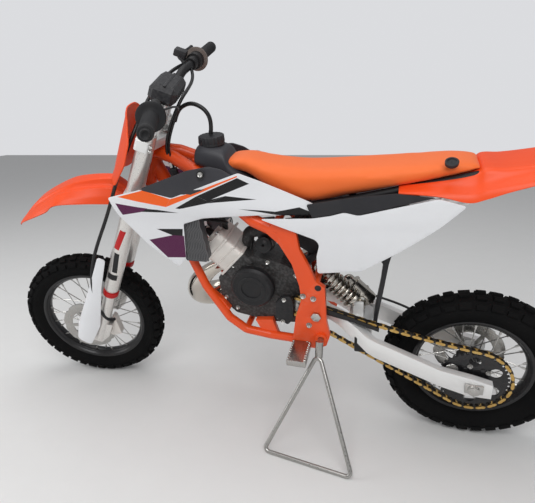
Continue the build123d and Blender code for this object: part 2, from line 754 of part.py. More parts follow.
trim_outline = [(367, 631), (279, 648), (190, 660), (118, 654), (262, 612.6), (290, 618.6),
                (317, 609.8), (355, 601.6)]
with BuildPart() as seat_trims:
    flowing_wall(panel_line, 440, 700)
    with BuildSketch(side_plane):
        Polygon(*trim_outline, align=None)
    extrude(amount=-200, mode=Mode.INTERSECT)
    tube([(230, subframe_y, 641), (230, 86, 641)], 6)
    tube([(x, subframe_y, z) for x, z in rail_line], rail_radius + seat_gap, 12, Mode.SUBTRACT)
    split(bisect_by=Plane(origin=(0, subframe_y + 5, 0), z_dir=(0, 1, 0)))
    mirror(about=Plane.XZ)

fender_side = [
    (186, 663.4), (112, 657), (61, 647), (-40, 683), (-150, 716), (-214, 738), (-214, 748),
    (-150, 732), (-51, 713), (0, fender_top_z),
    (34, fender_top_z), (37, 699), (52, 695.4), (113, 679.3),
]
fender_half_plan = [(186, 80), (60, 87), (-40, 88), (-150, 72), (-200, 52), (-216, 20)]
with BuildPart() as fender_hollow:
    side_slab([(200, 600), (200, 720), (36, 720), (34, fender_top_z - fender_wall),
               (0, fender_top_z - fender_wall), (-51, 709),
               (-150, 728), (-230, 750), (-230, 600)], -100, 100)
    with BuildSketch(Plane.XY.offset(600)):
        Polygon(*[(x + fender_wall, y - 2 * fender_wall) for x, y in fender_half_plan], (-212, 0),
                (186 + fender_wall, 0), align=None)
        mirror(about=Plane.XZ)
    extrude(amount=200, mode=Mode.INTERSECT)
with BuildPart() as rear_fender:
    side_slab(fender_side, -88, 88)
    with BuildSketch(Plane.XY.offset(600)):
        Polygon(*fender_half_plan, (-216, 0), (186, 0), align=None)
        mirror(about=Plane.XZ)
    extrude(amount=200, mode=Mode.INTERSECT)
    add(fender_hollow.part, mode=Mode.SUBTRACT)

# ---------------------------------------------------------------- steering
def clamp_plate(low, wall):
    with BuildSketch(fork_plane.offset(low)) as outline:
        with BuildLine():
            Polyline((-24, -20), (-24, 20), (clamp_offset - 12, leg_y + 27), (clamp_offset + 22,
                     leg_y + 27), (36, 24), (36, -24), (clamp_offset + 22, -leg_y - 27),
                     (clamp_offset - 12, -leg_y - 27), close=True)
        make_face()
        fillet(outline.vertices(), 9)
        with Locations((clamp_offset, leg_y), (clamp_offset, -leg_y)):
            Circle(fork_outer_radius + seat_gap, mode=Mode.SUBTRACT)
    extrude(outline.sketch, amount=wall)


with BuildPart() as lower_clamp:
    clamp_plate(lower_clamp_low, lower_clamp_wall)
    with BuildSketch(fork_plane.offset(lower_clamp_low)):
        Circle(stem_radius)
    extrude(amount=upper_clamp_low - lower_clamp_low - seat_gap)

with BuildPart() as upper_clamp:
    clamp_plate(upper_clamp_low, upper_clamp_wall)
    for side in (-1, 1):
        with BuildSketch(fork_plane.offset(upper_clamp_low + upper_clamp_wall)):
            with Locations((bar_centre_x, side * 32)):
                RectangleRounded(30, 24, 6)
        extrude(amount=bar_height + bar_radius + 4 - upper_clamp_low - upper_clamp_wall)
    with BuildSketch(Plane(origin=local(bar_centre_x, 60, bar_height), z_dir=(0, 1, 0))):
        Circle(bar_radius + seat_gap)
    extrude(amount=-120, mode=Mode.SUBTRACT)

bar_half = bar_width / 2
bar_half_route = [
    (bar_centre_x, 66, bar_height),
    (bar_centre_x - 4, 132, bar_height + bar_rise * 0.62),
    (bar_centre_x - bar_pullback, bar_half, bar_height + bar_rise),
]
bar_route = [local(a, -y, height) for a, y, height in reversed(bar_half_route)]
bar_route += [local(a, y, height) for a, y, height in bar_half_route]
with BuildPart() as handlebar:
    tube(bar_route, bar_radius, bar_bend_radius)

bar_end = {1: bar_route[-1], -1: bar_route[0]}
bar_along = {
    1: (bar_route[-1] - bar_route[-2]).normalized(),
    -1: (bar_route[0] - bar_route[1]).normalized(),
}


with BuildPart() as grips:
    for side in (1, -1):
        start = bar_end[side] - bar_along[side] * grip_length
        with BuildSketch(Plane(origin=start, z_dir=bar_along[side])):
            Circle(grip_radius)
        extrude(amount=grip_length + 4)
        with BuildSketch(Plane(origin=start, z_dir=bar_along[side])):
            Circle(24)
        extrude(amount=8)
        with BuildSketch(Plane(origin=start - bar_along[side], z_dir=bar_along[side])):
            Circle(bar_radius + seat_gap)
        extrude(amount=grip_length + 1 + seat_gap, mode=Mode.SUBTRACT)


def bar_point(side, inboard):
    return bar_end[side] - bar_along[side] * inboard


with BuildPart() as right_controls:
    for inboard, radius, length in ((grip_length + 2, 21, 24), (grip_length + 26, 16, 24)):
        with BuildSketch(Plane(origin=bar_point(-1, inboard), z_dir=-bar_along[-1])):
            Circle(radius)
            Circle(bar_radius + seat_gap, mode=Mode.SUBTRACT)
        extrude(amount=length)

with BuildPart() as bar_pad:
    with BuildSketch(fork_plane.offset(bar_height + bar_radius + 4 + seat_gap)):
        with Locations((bar_centre_x, 0)):
            RectangleRounded(62, 170, 14)
    extrude(amount=42)
    tube(bar_route, bar_radius + seat_gap, bar_bend_radius, Mode.SUBTRACT)

with BuildPart() as fork_tubes:
    with BuildSketch(fork_plane.offset(fork_outer_low)):
        with Locations((clamp_offset, leg_y), (clamp_offset, -leg_y)):
            Circle(fork_outer_radius)
    extrude(amount=fork_outer_high - fork_outer_low)

lug_radius = 17.0
lug_wall = 26.0
with BuildPart() as fork_legs:
    with BuildSketch(fork_plane.offset(-8)):
        with Locations((clamp_offset, leg_y), (clamp_offset, -leg_y)):
            Circle(fork_leg_radius)
    extrude(amount=fork_outer_low + 8 - seat_gap)
    for middle in (leg_y, -leg_y):
        with BuildSketch(Plane(origin=local(0, middle + lug_wall / 2, 0), x_dir=fork_forward,
                               z_dir=(0, -1, 0))):
            with Locations((axle_offset, 0)):
                Circle(lug_radius)
            Polygon((-16, 64), (-16, 20), (0, -12), (axle_offset, -lug_radius),
                    (axle_offset + 12, 12), (clamp_offset + 16, 56), align=None)
        extrude(amount=lug_wall)
    with BuildSketch(beside(front_axle, leg_y + lug_wall)):
        Circle(axle_radius + seat_gap)
    extrude(amount=-leg_spacing - 2 * lug_wall, mode=Mode.SUBTRACT)

guard_outline = [(40, 292), (62, 292), (66, 200), (78, 40), (70, -14), (26, -18), (14, 60),
                 (34, 200)]
with BuildPart() as fork_guards:
    with BuildSketch(Plane(origin=local(0, leg_y + 26, 0), x_dir=fork_forward,
                           z_dir=(0, -1, 0))):
        Polygon(*guard_outline, align=None)
    extrude(amount=panel_wall)
    mirror(about=Plane.XZ)

mudguard_top = [(60, 477), (88, 485), (157, 453), (220, 412), (268, 350), (299, 289), (311, 256)]
mudguard_edge = [(305, 256), (292, 284), (262, 318), (229, 344), (204, 382), (139, 404),
                 (81, 418), (51, 430), (-10, 450)]
mudguard_half_plan = [(-30, 44), (90, 48), (130, 58), (190, 84), (250, 84), (290, 62), (311, 30)]
mudguard_seat = lower_clamp_low - seat_gap
fork_side = Plane(origin=local(0, -100, 0), x_dir=fork_forward, z_dir=(0, -1, 0))
with BuildPart() as mudguard_hollow:
    with BuildSketch(fork_side):
        Polygon((-40, mudguard_seat - fender_wall), (40, mudguard_seat - fender_wall),
                *[(a - 3, height - fender_wall) for a, height in mudguard_top], (300, 150),
                (-40, 150), align=None)
    extrude(amount=-200)
    with BuildSketch(fork_plane.offset(150)):
        Polygon((-50, 40), *[(a - fender_wall, y - fender_wall) for a, y in mudguard_half_plan],
                (308, 0), (-50, 0), align=None)
        mirror(about=Plane.XZ)
    extrude(amount=400, mode=Mode.INTERSECT)
with BuildPart() as front_fender:
    with BuildSketch(fork_side):
        Polygon((-30, mudguard_seat), (40, mudguard_seat), *mudguard_top, *mudguard_edge,
                (-30, 456), align=None)
    extrude(amount=-200)
    with BuildSketch(fork_plane.offset(150)):
        Polygon(*mudguard_half_plan, (311, 0), (-30, 0), align=None)
        mirror(about=Plane.XZ)
    extrude(amount=400, mode=Mode.INTERSECT)
    add(mudguard_hollow.part, mode=Mode.SUBTRACT)

with BuildPart() as number_plate:
    with BuildSketch(fork_plane.offset(440)):
        with BuildLine():
            ThreePointArc((46, 92), (86, 0), (46, -92))
            Line((46, -92), (42, -88))
            ThreePointArc((42, -88), (82, 0), (42, 88))
            Line((42, 88), (46, 92))
        make_face()
    extrude(amount=262)
    with BuildSketch(Plane(origin=local(0, 0, 0), x_dir=(0, 1, 0), z_dir=fork_forward)):
        Polygon((-70, 488), (-92, 560), (-92, 650), (-58, 700), (58, 700), (92, 650),
                (92, 560), (70, 488), align=None)
    extrude(amount=120, mode=Mode.INTERSECT)
    with BuildSketch(fork_plane.offset(556)):
        for side in (1, -1):
            with Locations(((clamp_offset + fork_outer_radius + seat_gap + 58) / 2, side * leg_y)):
                Rectangle(58 - clamp_offset - fork_outer_radius - seat_gap, 12)
    extrude(amount=14)

pad_gap = 2.5
with BuildPart() as front_caliper:
    caliper_outer = leg_y - lug_wall / 2 - seat_gap
    with BuildSketch(Plane(origin=local(0, caliper_outer, 0), x_dir=fork_forward,
                           z_dir=(0, -1, 0))):
        Polygon((-46, 20), (-16, 68), (-6, 72), (-6, 10), (-22, 2), align=None)
    extrude(amount=26)
    with BuildSketch(beside(front_axle, front_disc_y + disc_wall / 2 + pad_gap)):
        Circle(disc_radius + 4)
    extrude(amount=-disc_wall - 2 * pad_gap, mode=Mode.SUBTRACT)
with BuildPart() as rear_caliper:
    side_slab([(40, 272), (84, 254), (92, 226), (66, 216), (34, 244)],
              seat_gap - swingarm_inner, -38, 5)
    with BuildSketch(beside(rear_axle, rear_disc_y + disc_wall / 2 + pad_gap)):
        Circle(disc_radius + 4)
    extrude(amount=-disc_wall - 2 * pad_gap, mode=Mode.SUBTRACT)

# ---------------------------------------------------------------- rider's feet
with BuildPart() as footpegs:
    side_slab([(peg_x - 23, peg_top - 16), (peg_x - 23, peg_top), (peg_x + 23, peg_top),
               (peg_x + 23, peg_top - 16)], plate_outer + seat_gap, 160, 3)
    mirror(about=Plane.XZ)

# ---------------------------------------------------------------- leaning on the stand
steer = (
    Location(fork_plane) * Location((0, 0, 0), (0, 0, steer_at_rest))
    * Location(fork_plane).inverse()
)


def lowest(place, centre, radius, crown):
    """The height of a tyre's lowest point once its bike is placed."""
    middle = (place * Location(centre)).position
    side = (place * Location(centre + Vector(0, 1, 0))).position - middle
    return middle.Z - (radius - crown) * sqrt(1 - side.Z**2) - crown


leaning = Location((0, 0, 0), (-lean, 0, 0))
rear_low = lowest(leaning, rear_axle, rear_tyre_radius, rear_crown_radius)
front_low = lowest(leaning * steer, front_axle, front_tyre_radius, front_crown_radius)
nose_down = degrees(atan2(front_low - rear_low, wheelbase))
pitching = Location((0, 0, 0), (0, nose_down, 0))
rear_low = lowest(pitching * leaning, rear_axle, rear_tyre_radius, rear_crown_radius)
standing = Location((0, 0, -rear_low)) * pitching * leaning

stand_pin = Vector(stand_x, 0, stand_z)
pin_in = (standing * Location(stand_pin + Vector(0, plate_outer, 0))).position
pin_out = (standing * Location(stand_pin + Vector(0, plate_outer + 30, 0))).position
neck = pin_out + Vector(0, 6, -30)
foot_front = Vector(451, 258, stand_rod_radius)
foot_rear = Vector(241, 292, stand_rod_radius)
with BuildPart() as triangle_stand:
    tube([pin_in, pin_out], stand_pin_radius, 0)
    tube([pin_out + Vector(0, 0, 8), neck], 9, 0)
    tube([neck + Vector(0, 0, 14), foot_front, foot_rear, neck + Vector(0, 0, 14)],
         stand_rod_radius, 10)

# ---------------------------------------------------------------- writing the pieces
standing_pieces = {
    "frame": frame, "subframe": subframe, "swingarm": swingarm, "shock_absorber": shock_absorber,
    "pivot_bolt": pivot_bolt, "rear_axle": rear_spindle, "crankcase": crankcase,
    "cylinder": cylinder, "cylinder_head": cylinder_head, "ignition_cover": ignition_cover,
    "sprocket_cover": sprocket_cover, "clutch_cover": clutch_cover, "carburettor": carburettor,
    "airbox": airbox, "exhaust_pipe": exhaust_pipe, "silencer": silencer,
    "radiators": radiators, "fuel_tank": fuel_tank, "fuel_cap": fuel_cap, "seat": seat,
    "left_shroud": left_shroud, "right_shroud": right_shroud, "tank_covers": tank_covers,
    "side_panels": side_panels, "seat_trims": seat_trims, "rear_fender": rear_fender, "drive_sprocket": drive_sprocket,
    "chain": chain, "rear_caliper": rear_caliper, "footpegs": footpegs,
    "rear_tyre": rear_tyre, "rear_spoked_rim": rear_spoked_rim, "rear_disc": rear_disc,
    "rear_sprocket": rear_sprocket,
}
steered_pieces = {
    "lower_clamp": lower_clamp, "upper_clamp": upper_clamp, "handlebar": handlebar,
    "grips": grips, "right_controls": right_controls, "bar_pad": bar_pad,
    "fork_tubes": fork_tubes, "fork_legs": fork_legs, "fork_guards": fork_guards,
    "front_fender": front_fender, "number_plate": number_plate, "front_caliper": front_caliper,
    "front_axle": front_spindle, "front_tyre": front_tyre,
    "front_spoked_rim": front_spoked_rim, "front_disc": front_disc,
}
placed = [(name, piece, standing) for name, piece in standing_pieces.items()]
placed += [(name, piece, standing * steer) for name, piece in steered_pieces.items()]
placed.append(("triangle_stand", triangle_stand, Location()))

for name, piece, place in placed:
    piece.part = piece.part.moved(place)
whole = Compound([piece.part for name, piece, place in placed]).bounding_box()
centring = Location((-whole.center().X, -whole.center().Y, 0))
for name, piece, place in placed:
    piece.part = piece.part.moved(centring)
    piece.part.label = name
    export_step(piece.part, f"parts/{name}.step")


def report_axis(name, place, point, direction):
    spot = (centring * place * Location(point)).position
    tip = (centring * place * Location(point + direction)).position
    print("axis", name, *[round(v, 4) for v in (*spot, *(tip - spot).normalized())])


left = Vector(0, 1, 0)
report_axis("steering", standing, steering_foot, fork_up)
report_axis("front_wheel", standing * steer, front_axle, left)
report_axis("rear_wheel", standing, rear_axle, left)
seat_front, seat_back = [Vector(x, 0, z) for x, z in seat_top[4:6]]
seat_up = (seat_front - seat_back).cross(left).normalized()
report_axis("seat_top", standing, (seat_front + seat_back) / 2, seat_up)
for side_name, side in (("left", 1), ("right", -1)):
    tread = Vector(peg_x, side * (plate_outer + 160) / 2, peg_top)
    report_axis(side_name + "_footpeg_tread", standing, tread, Vector(0, 0, 1))
print("box", whole.size, "lowest", round(whole.min.Z, 3), "nose down", round(nose_down, 4))
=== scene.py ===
import bpy
import json
import math
from mathutils import Matrix, Vector


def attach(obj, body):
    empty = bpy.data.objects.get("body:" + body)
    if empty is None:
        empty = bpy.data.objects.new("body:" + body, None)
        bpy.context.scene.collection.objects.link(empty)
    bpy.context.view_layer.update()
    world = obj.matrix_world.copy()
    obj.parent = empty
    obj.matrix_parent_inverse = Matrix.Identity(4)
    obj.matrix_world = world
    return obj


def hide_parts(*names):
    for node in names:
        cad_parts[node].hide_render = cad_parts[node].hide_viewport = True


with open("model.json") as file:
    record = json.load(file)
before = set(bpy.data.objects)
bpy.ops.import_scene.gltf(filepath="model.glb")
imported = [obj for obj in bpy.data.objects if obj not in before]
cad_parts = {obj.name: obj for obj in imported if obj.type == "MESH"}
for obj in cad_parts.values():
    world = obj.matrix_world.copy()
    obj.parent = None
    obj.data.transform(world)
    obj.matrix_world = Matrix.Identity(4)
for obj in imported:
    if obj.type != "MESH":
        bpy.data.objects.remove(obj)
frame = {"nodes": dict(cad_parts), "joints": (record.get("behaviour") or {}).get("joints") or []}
bpy.context.view_layer.update()
print("frame loaded:", len(frame["nodes"]), "nodes")

# The bike leans and its steering is turned, so pieces are modelled in millimetres on two plain
# frames, forward, left and up, and set in place at the end: the bike's own, with its origin on
# the ground below the rear axle, and the steering's, with its origin at the foot of its axis.
stance = {"rake": math.radians(24.0), "rearRadius": 200.0, "millimetre": 0.001}
joints = {entry["name"]: entry for entry in frame["joints"]}


def frameFrom(origin, forward, left, up):
    turn = Matrix((forward, left, up)).transposed().to_4x4()
    return Matrix.Translation(origin) @ turn @ Matrix.Scale(stance["millimetre"], 4)


rearAxle = Vector(joints["rear_wheel_spin"]["pos_m"])
frontAxle = Vector(joints["front_wheel_spin"]["pos_m"])
bikeLeft = Vector(joints["rear_wheel_spin"]["axis"]).normalized()
steerUp = Vector(joints["steering_turn"]["axis"]).normalized()
steerForward = bikeLeft.cross(steerUp)
bikeForward = steerForward * math.cos(stance["rake"]) - steerUp * math.sin(stance["rake"])
bikeUp = steerForward * math.sin(stance["rake"]) + steerUp * math.cos(stance["rake"])
bikeFoot = rearAxle - bikeUp * stance["rearRadius"] * stance["millimetre"]
wheelLeft = Vector(joints["front_wheel_spin"]["axis"]).normalized()
bikeFrame = frameFrom(bikeFoot, bikeForward, bikeLeft, bikeUp)
forkFrame = frameFrom(
    Vector(joints["steering_turn"]["pos_m"]), wheelLeft.cross(steerUp), wheelLeft, steerUp
)
rearFrame = frameFrom(rearAxle, bikeForward, bikeLeft, bikeUp)
frontFrame = frameFrom(frontAxle, wheelLeft.cross(steerUp), wheelLeft, steerUp)


# Working with pieces.
def only(*pieces):
    if bpy.context.object and bpy.context.object.mode == "EDIT":
        bpy.ops.object.mode_set(mode="OBJECT")
    bpy.ops.object.select_all(action="DESELECT")
    for piece in pieces:
        piece.select_set(True)
    bpy.context.view_layer.objects.active = pieces[0]


def addedAs(name):
    piece = bpy.context.object
    piece.name = name
    piece.data.name = name
    return piece


def modify(piece, kind, **settings):
    only(piece)
    modifier = piece.modifiers.new(kind.lower(), kind)
    for key, value in settings.items():
        setattr(modifier, key, value)
    bpy.ops.object.modifier_apply(modifier=modifier.name)


def soften(piece, width, angle=30, segments=2):
    modify(piece, "BEVEL", width=width, segments=segments, limit_method="ANGLE",
           angle_limit=math.radians(angle))


def smooth(piece, angle=32):
    only(piece)
    bpy.ops.object.shade_smooth_by_angle(angle=math.radians(angle))


def inEdit(piece):
    only(piece)
    bpy.ops.object.mode_set(mode="EDIT")
    bpy.ops.mesh.select_all(action="SELECT")


def faceOut(piece):
    inEdit(piece)
    bpy.ops.mesh.normals_make_consistent(inside=False)
    bpy.ops.object.mode_set(mode="OBJECT")


def faceToward(piece, axis):
    faceOut(piece)
    if sum(face.normal[axis] for face in piece.data.polygons) < 0:
        inEdit(piece)
        bpy.ops.mesh.flip_normals()
        bpy.ops.object.mode_set(mode="OBJECT")


def weld(piece):
    inEdit(piece)
    bpy.ops.mesh.remove_doubles(threshold=0.01)
    bpy.ops.mesh.normals_make_consistent(inside=False)
    bpy.ops.object.mode_set(mode="OBJECT")


def closeEnds(piece):
    inEdit(piece)
    bpy.ops.mesh.remove_doubles(threshold=0.01)
    bpy.ops.mesh.select_all(action="DESELECT")
    bpy.ops.mesh.select_non_manifold()
    bpy.ops.mesh.fill_holes(sides=0)
    bpy.ops.mesh.select_all(action="SELECT")
    bpy.ops.mesh.normals_make_consistent(inside=False)
    bpy.ops.object.mode_set(mode="OBJECT")


def joined(name, *pieces):
    only(*pieces)
    bpy.ops.object.join()
    return addedAs(name)


def mirrored(piece):
    modify(piece, "MIRROR", use_axis=(False, True, False), use_mirror_merge=False)


def setDown(piece, where, body, slot, coat, replaces=(), angle=32):
    piece.data.transform(piece.matrix_basis)
    piece.matrix_basis = Matrix.Identity(4)
    piece.data.transform(where)
    piece.data.materials.clear()
    piece.data.materials.append(coat)
    for face in piece.data.polygons:
        face.material_index = 0
    smooth(piece, angle)
    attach(piece, body)
    if replaces:
        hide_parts(*replaces)
    return piece


def shapedGrid(name, columns, rows, place, closed=False):
    bpy.ops.mesh.primitive_grid_add(x_subdivisions=columns, y_subdivisions=rows, size=2)
    piece = addedAs(name)
    for vertex in piece.data.vertices:
        vertex.co = place((vertex.co.x + 1) / 2, (vertex.co.y + 1) / 2)
    if closed:
        closeEnds(piece)
    return piece


def along(points, share):
    reach = share * (len(points) - 1)
    index = min(int(reach), len(points) - 2)
    part = reach - index
    before, after = points[max(index - 1, 0)], points[min(index + 2, len(points) - 1)]
    start, end = points[index], points[index + 1]
    blended = []
    for a, b, c, d in zip(before, start, end, after):
        bend = b + 0.5 * part * (c - a + part * (2 * a - 5 * b + 4 * c - d
                                                 + part * (3 * (b - c) + d - a)))
        blended.append(bend)
    return blended


def atX(line, x):
    for (x0, y0), (x1, y1) in zip(line, line[1:]):
        if x >= x1:
            return y1 + (y0 - y1) * min(1, (x - x1) / (x0 - x1))
    return line[-1][1]


def outlined(name, outline, depth, wall, corner=3.0, step=12.0, edge=0.8):
    bpy.ops.mesh.primitive_circle_add(vertices=len(outline), fill_type="NGON")
    piece = addedAs(name)
    for vertex, (x, z) in zip(piece.data.vertices, outline):
        vertex.co = (x, 0, z)
    inEdit(piece)
    if corner:
        bpy.ops.mesh.bevel(affect="VERTICES", offset=corner, segments=3)
    for axis in (0, 2):
        places = [point[axis // 2] for point in outline]
        cut = min(places) + step / 2
        while cut < max(places):
            point, normal = [0, 0, 0], [0, 0, 0]
            point[axis], normal[axis] = cut, 1
            bpy.ops.mesh.select_all(action="SELECT")
            bpy.ops.mesh.bisect(plane_co=point, plane_no=normal)
            cut += step
    bpy.ops.mesh.select_all(action="SELECT")
    bpy.ops.mesh.remove_doubles(threshold=0.3)
    bpy.ops.object.mode_set(mode="OBJECT")
    for vertex in piece.data.vertices:
        vertex.co.y = depth(vertex.co.x, vertex.co.z)
    faceToward(piece, 1)
    modify(piece, "SOLIDIFY", thickness=wall, offset=-1, use_even_offset=False)
    soften(piece, edge, angle=50)
    return piece


def hose(name, points, radius, radii=None, sides=5):
    line = bpy.data.curves.new(name, "CURVE")
    line.dimensions = "3D"
    spline = line.splines.new("NURBS")
    spline.points.add(len(points) - 1)
    for index, point in enumerate(points):
        spline.points[index].co = (*point, 1)
        spline.points[index].radius = radii[index] / radius if radii else 1
    spline.order_u = 3
    spline.use_endpoint_u = True
    spline.resolution_u = 10
    line.bevel_depth = radius
    line.bevel_resolution = sides
    line.use_fill_caps = True
    piece = bpy.data.objects.new(name, line)
    bpy.context.scene.collection.objects.link(piece)
    only(piece)
    bpy.ops.object.convert(target="MESH")
    piece = addedAs(name)
    weld(piece)
    return piece


def disc(name, centre, axis, radius, depth, sides=32):
    bpy.ops.mesh.primitive_cylinder_add(vertices=sides, radius=radius, depth=depth)
    piece = addedAs(name)
    turn = Vector((0, 0, 1)).rotation_difference(Vector(axis)).to_matrix().to_4x4()
    piece.data.transform(Matrix.Translation(centre) @ turn)
    return piece


def block(name, low, high, edge=1.0, segments=2):
    bpy.ops.mesh.primitive_cube_add(size=1)
    piece = addedAs(name)
    low, high = Vector(low), Vector(high)
    for vertex in piece.data.vertices:
        share = vertex.co + Vector((0.5, 0.5, 0.5))
        vertex.co = [a + (b - a) * part for a, b, part in zip(low, high, share)]
    soften(piece, edge, segments=segments)
    return piece


def bolts(name, places, axis, radius=5.0, height=4.0):
    heads = []
    for place in places:
        flange = disc(name, place, axis, radius * 1.25, 1.6, 20)
        middle = Vector(place) + Vector(axis) * height / 2
        head = disc(name, middle, axis, radius, height, 6)
        inEdit(head)
        bpy.ops.mesh.select_all(action="DESELECT")
        bpy.ops.object.mode_set(mode="OBJECT")
        for face in head.data.polygons:
            face.select = face.normal.dot(Vector(axis)) > 0.9
        bpy.ops.object.mode_set(mode="EDIT")
        bpy.ops.mesh.inset(thickness=radius * 0.4, depth=-height * 0.4)
        bpy.ops.object.mode_set(mode="OBJECT")
        heads += [flange, head]
    return joined(name, *heads)


# Finishes.
def wire(tree, kind, sockets=None, **settings):
    made = tree.nodes.new(kind)
    for key, value in settings.items():
        setattr(made, key, value)
    for key, value in (sockets or {}).items():
        if isinstance(value, bpy.types.NodeSocket):
            tree.links.new(value, made.inputs[key])
        else:
            made.inputs[key].default_value = value
    return made


def newGroup(name, inputs, outputs):
    tree = bpy.data.node_groups.new(name, "ShaderNodeTree")
    for label, kind, start in inputs:
        socket = tree.interface.new_socket(name=label, in_out="INPUT", socket_type=kind)
        socket.default_value = start
    for label, kind in outputs:
        tree.interface.new_socket(name=label, in_out="OUTPUT", socket_type=kind)
    return tree, tree.nodes.new("NodeGroupInput"), tree.nodes.new("NodeGroupOutput")


def makeGrain():
    tree, given, out = newGroup(
        "fineGrain",
        [("Scale", "NodeSocketFloat", 900.0), ("Broad", "NodeSocketFloat", 14.0)],
        [("Height", "NodeSocketFloat"), ("Mottle", "NodeSocketFloat")],
    )
    place = wire(tree, "ShaderNodeTexCoord").outputs["Object"]
    fine = wire(tree, "ShaderNodeTexNoise", {
        "Vector": place, "Scale": given.outputs["Scale"], "Detail": 2.0, "Roughness": 0.6})
    broad = wire(tree, "ShaderNodeTexNoise", {
        "Vector": place, "Scale": given.outputs["Broad"], "Detail": 4.0, "Roughness": 0.55})
    tree.links.new(fine.outputs["Fac"], out.inputs["Height"])
    tree.links.new(broad.outputs["Fac"], out.inputs["Mottle"])
    return tree


def covered(tree, given, out, mask, over):
    share = wire(tree, "ShaderNodeMath", {0: mask.outputs[0], 1: given.outputs["Amount"]},
                 operation="MULTIPLY", use_clamp=True)
    mix = wire(tree, "ShaderNodeMix", {
        "Factor": share.outputs[0], 6: given.outputs["Color"], 7: given.outputs[over]},
        data_type="RGBA")
    tree.links.new(mix.outputs[2], out.inputs["Color"])
    tree.links.new(share.outputs[0], out.inputs["Mask"])
    return tree


def makeWear():
    tree, given, out = newGroup(
        "edgeWear",
        [("Color", "NodeSocketColor", (1, 1, 1, 1)), ("Worn", "NodeSocketColor", (1, 1, 1, 1)),
         ("Amount", "NodeSocketFloat", 0.5)],
        [("Color", "NodeSocketColor"), ("Mask", "NodeSocketFloat")],
    )
    edge = wire(tree, "ShaderNodeNewGeometry").outputs["Pointiness"]
    place = wire(tree, "ShaderNodeTexCoord").outputs["Object"]
    chips = wire(tree, "ShaderNodeTexNoise", {"Vector": place, "Scale": 160.0, "Detail": 5.0})
    ridge = wire(tree, "ShaderNodeMapRange", {
        "Value": edge, "From Min": 0.52, "From Max": 0.60})
    broken = wire(tree, "ShaderNodeMapRange", {
        "Value": chips.outputs["Fac"], "From Min": 0.42, "From Max": 0.66})
    both = wire(tree, "ShaderNodeMath", {0: ridge.outputs[0], 1: broken.outputs[0]},
                operation="MULTIPLY")
    return covered(tree, given, out, both, "Worn")


def makeDust():
    tree, given, out = newGroup(
        "dustFilm",
        [("Color", "NodeSocketColor", (1, 1, 1, 1)),
         ("Dust", "NodeSocketColor", (0.35, 0.31, 0.26, 1)), ("Amount", "NodeSocketFloat", 0.2)],
        [("Color", "NodeSocketColor"), ("Mask", "NodeSocketFloat")],
    )
    place = wire(tree, "ShaderNodeTexCoord").outputs["Object"]
    cloud = wire(tree, "ShaderNodeTexNoise", {
        "Vector": place, "Scale": 22.0, "Detail": 6.0, "Roughness": 0.65})
    spread = wire(tree, "ShaderNodeMapRange", {
        "Value": cloud.outputs["Fac"], "From Min": 0.40, "From Max": 0.75})
    return covered(tree, given, out, spread, "Dust")


def makeBrush():
    tree, given, out = newGroup(
        "brushLines",
        [("Stretch", "NodeSocketVector", (40.0, 900.0, 900.0))],
        [("Height", "NodeSocketFloat")],
    )
    place = wire(tree, "ShaderNodeTexCoord").outputs["Object"]
    pulled = wire(tree, "ShaderNodeVectorMath", {0: place, 1: given.outputs["Stretch"]},
                  operation="MULTIPLY")
    lines = wire(tree, "ShaderNodeTexNoise", {
        "Vector": pulled.outputs[0], "Scale": 1.0, "Detail": 3.0})
    tree.links.new(lines.outputs["Fac"], out.inputs["Height"])
    return tree


def makeEdge():
    tree, given, out = newGroup(
        "paintEdge",
        [("Place", "NodeSocketVector", (0, 0, 0)), ("Point", "NodeSocketVector", (0, 0, 0)),
         ("Inward", "NodeSocketVector", (1, 0, 0)), ("Mask", "NodeSocketFloat", 1.0)],
        [("Mask", "NodeSocketFloat")],
    )
    away = wire(tree, "ShaderNodeVectorMath", {0: given.outputs["Place"],
                                               1: given.outputs["Point"]},
                operation="SUBTRACT")
    reach = wire(tree, "ShaderNodeVectorMath", {0: away.outputs[0], 1: given.outputs["Inward"]},
                 operation="DOT_PRODUCT")
    soft = wire(tree, "ShaderNodeMapRange", {
        "Value": reach.outputs["Value"], "From Min": -0.25, "From Max": 0.25})
    least = wire(tree, "ShaderNodeMath", {0: soft.outputs[0], 1: given.outputs["Mask"]},
                 operation="MINIMUM")
    tree.links.new(least.outputs[0], out.inputs["Mask"])
    return tree


grain, wear, dust = makeGrain(), makeWear(), makeDust()
brush, paintEdge = makeBrush(), makeEdge()


def grouped(tree, group, sockets):
    return wire(tree, "ShaderNodeGroup", sockets, node_tree=group)


def solid(colour):
    return (*colour, 1.0)


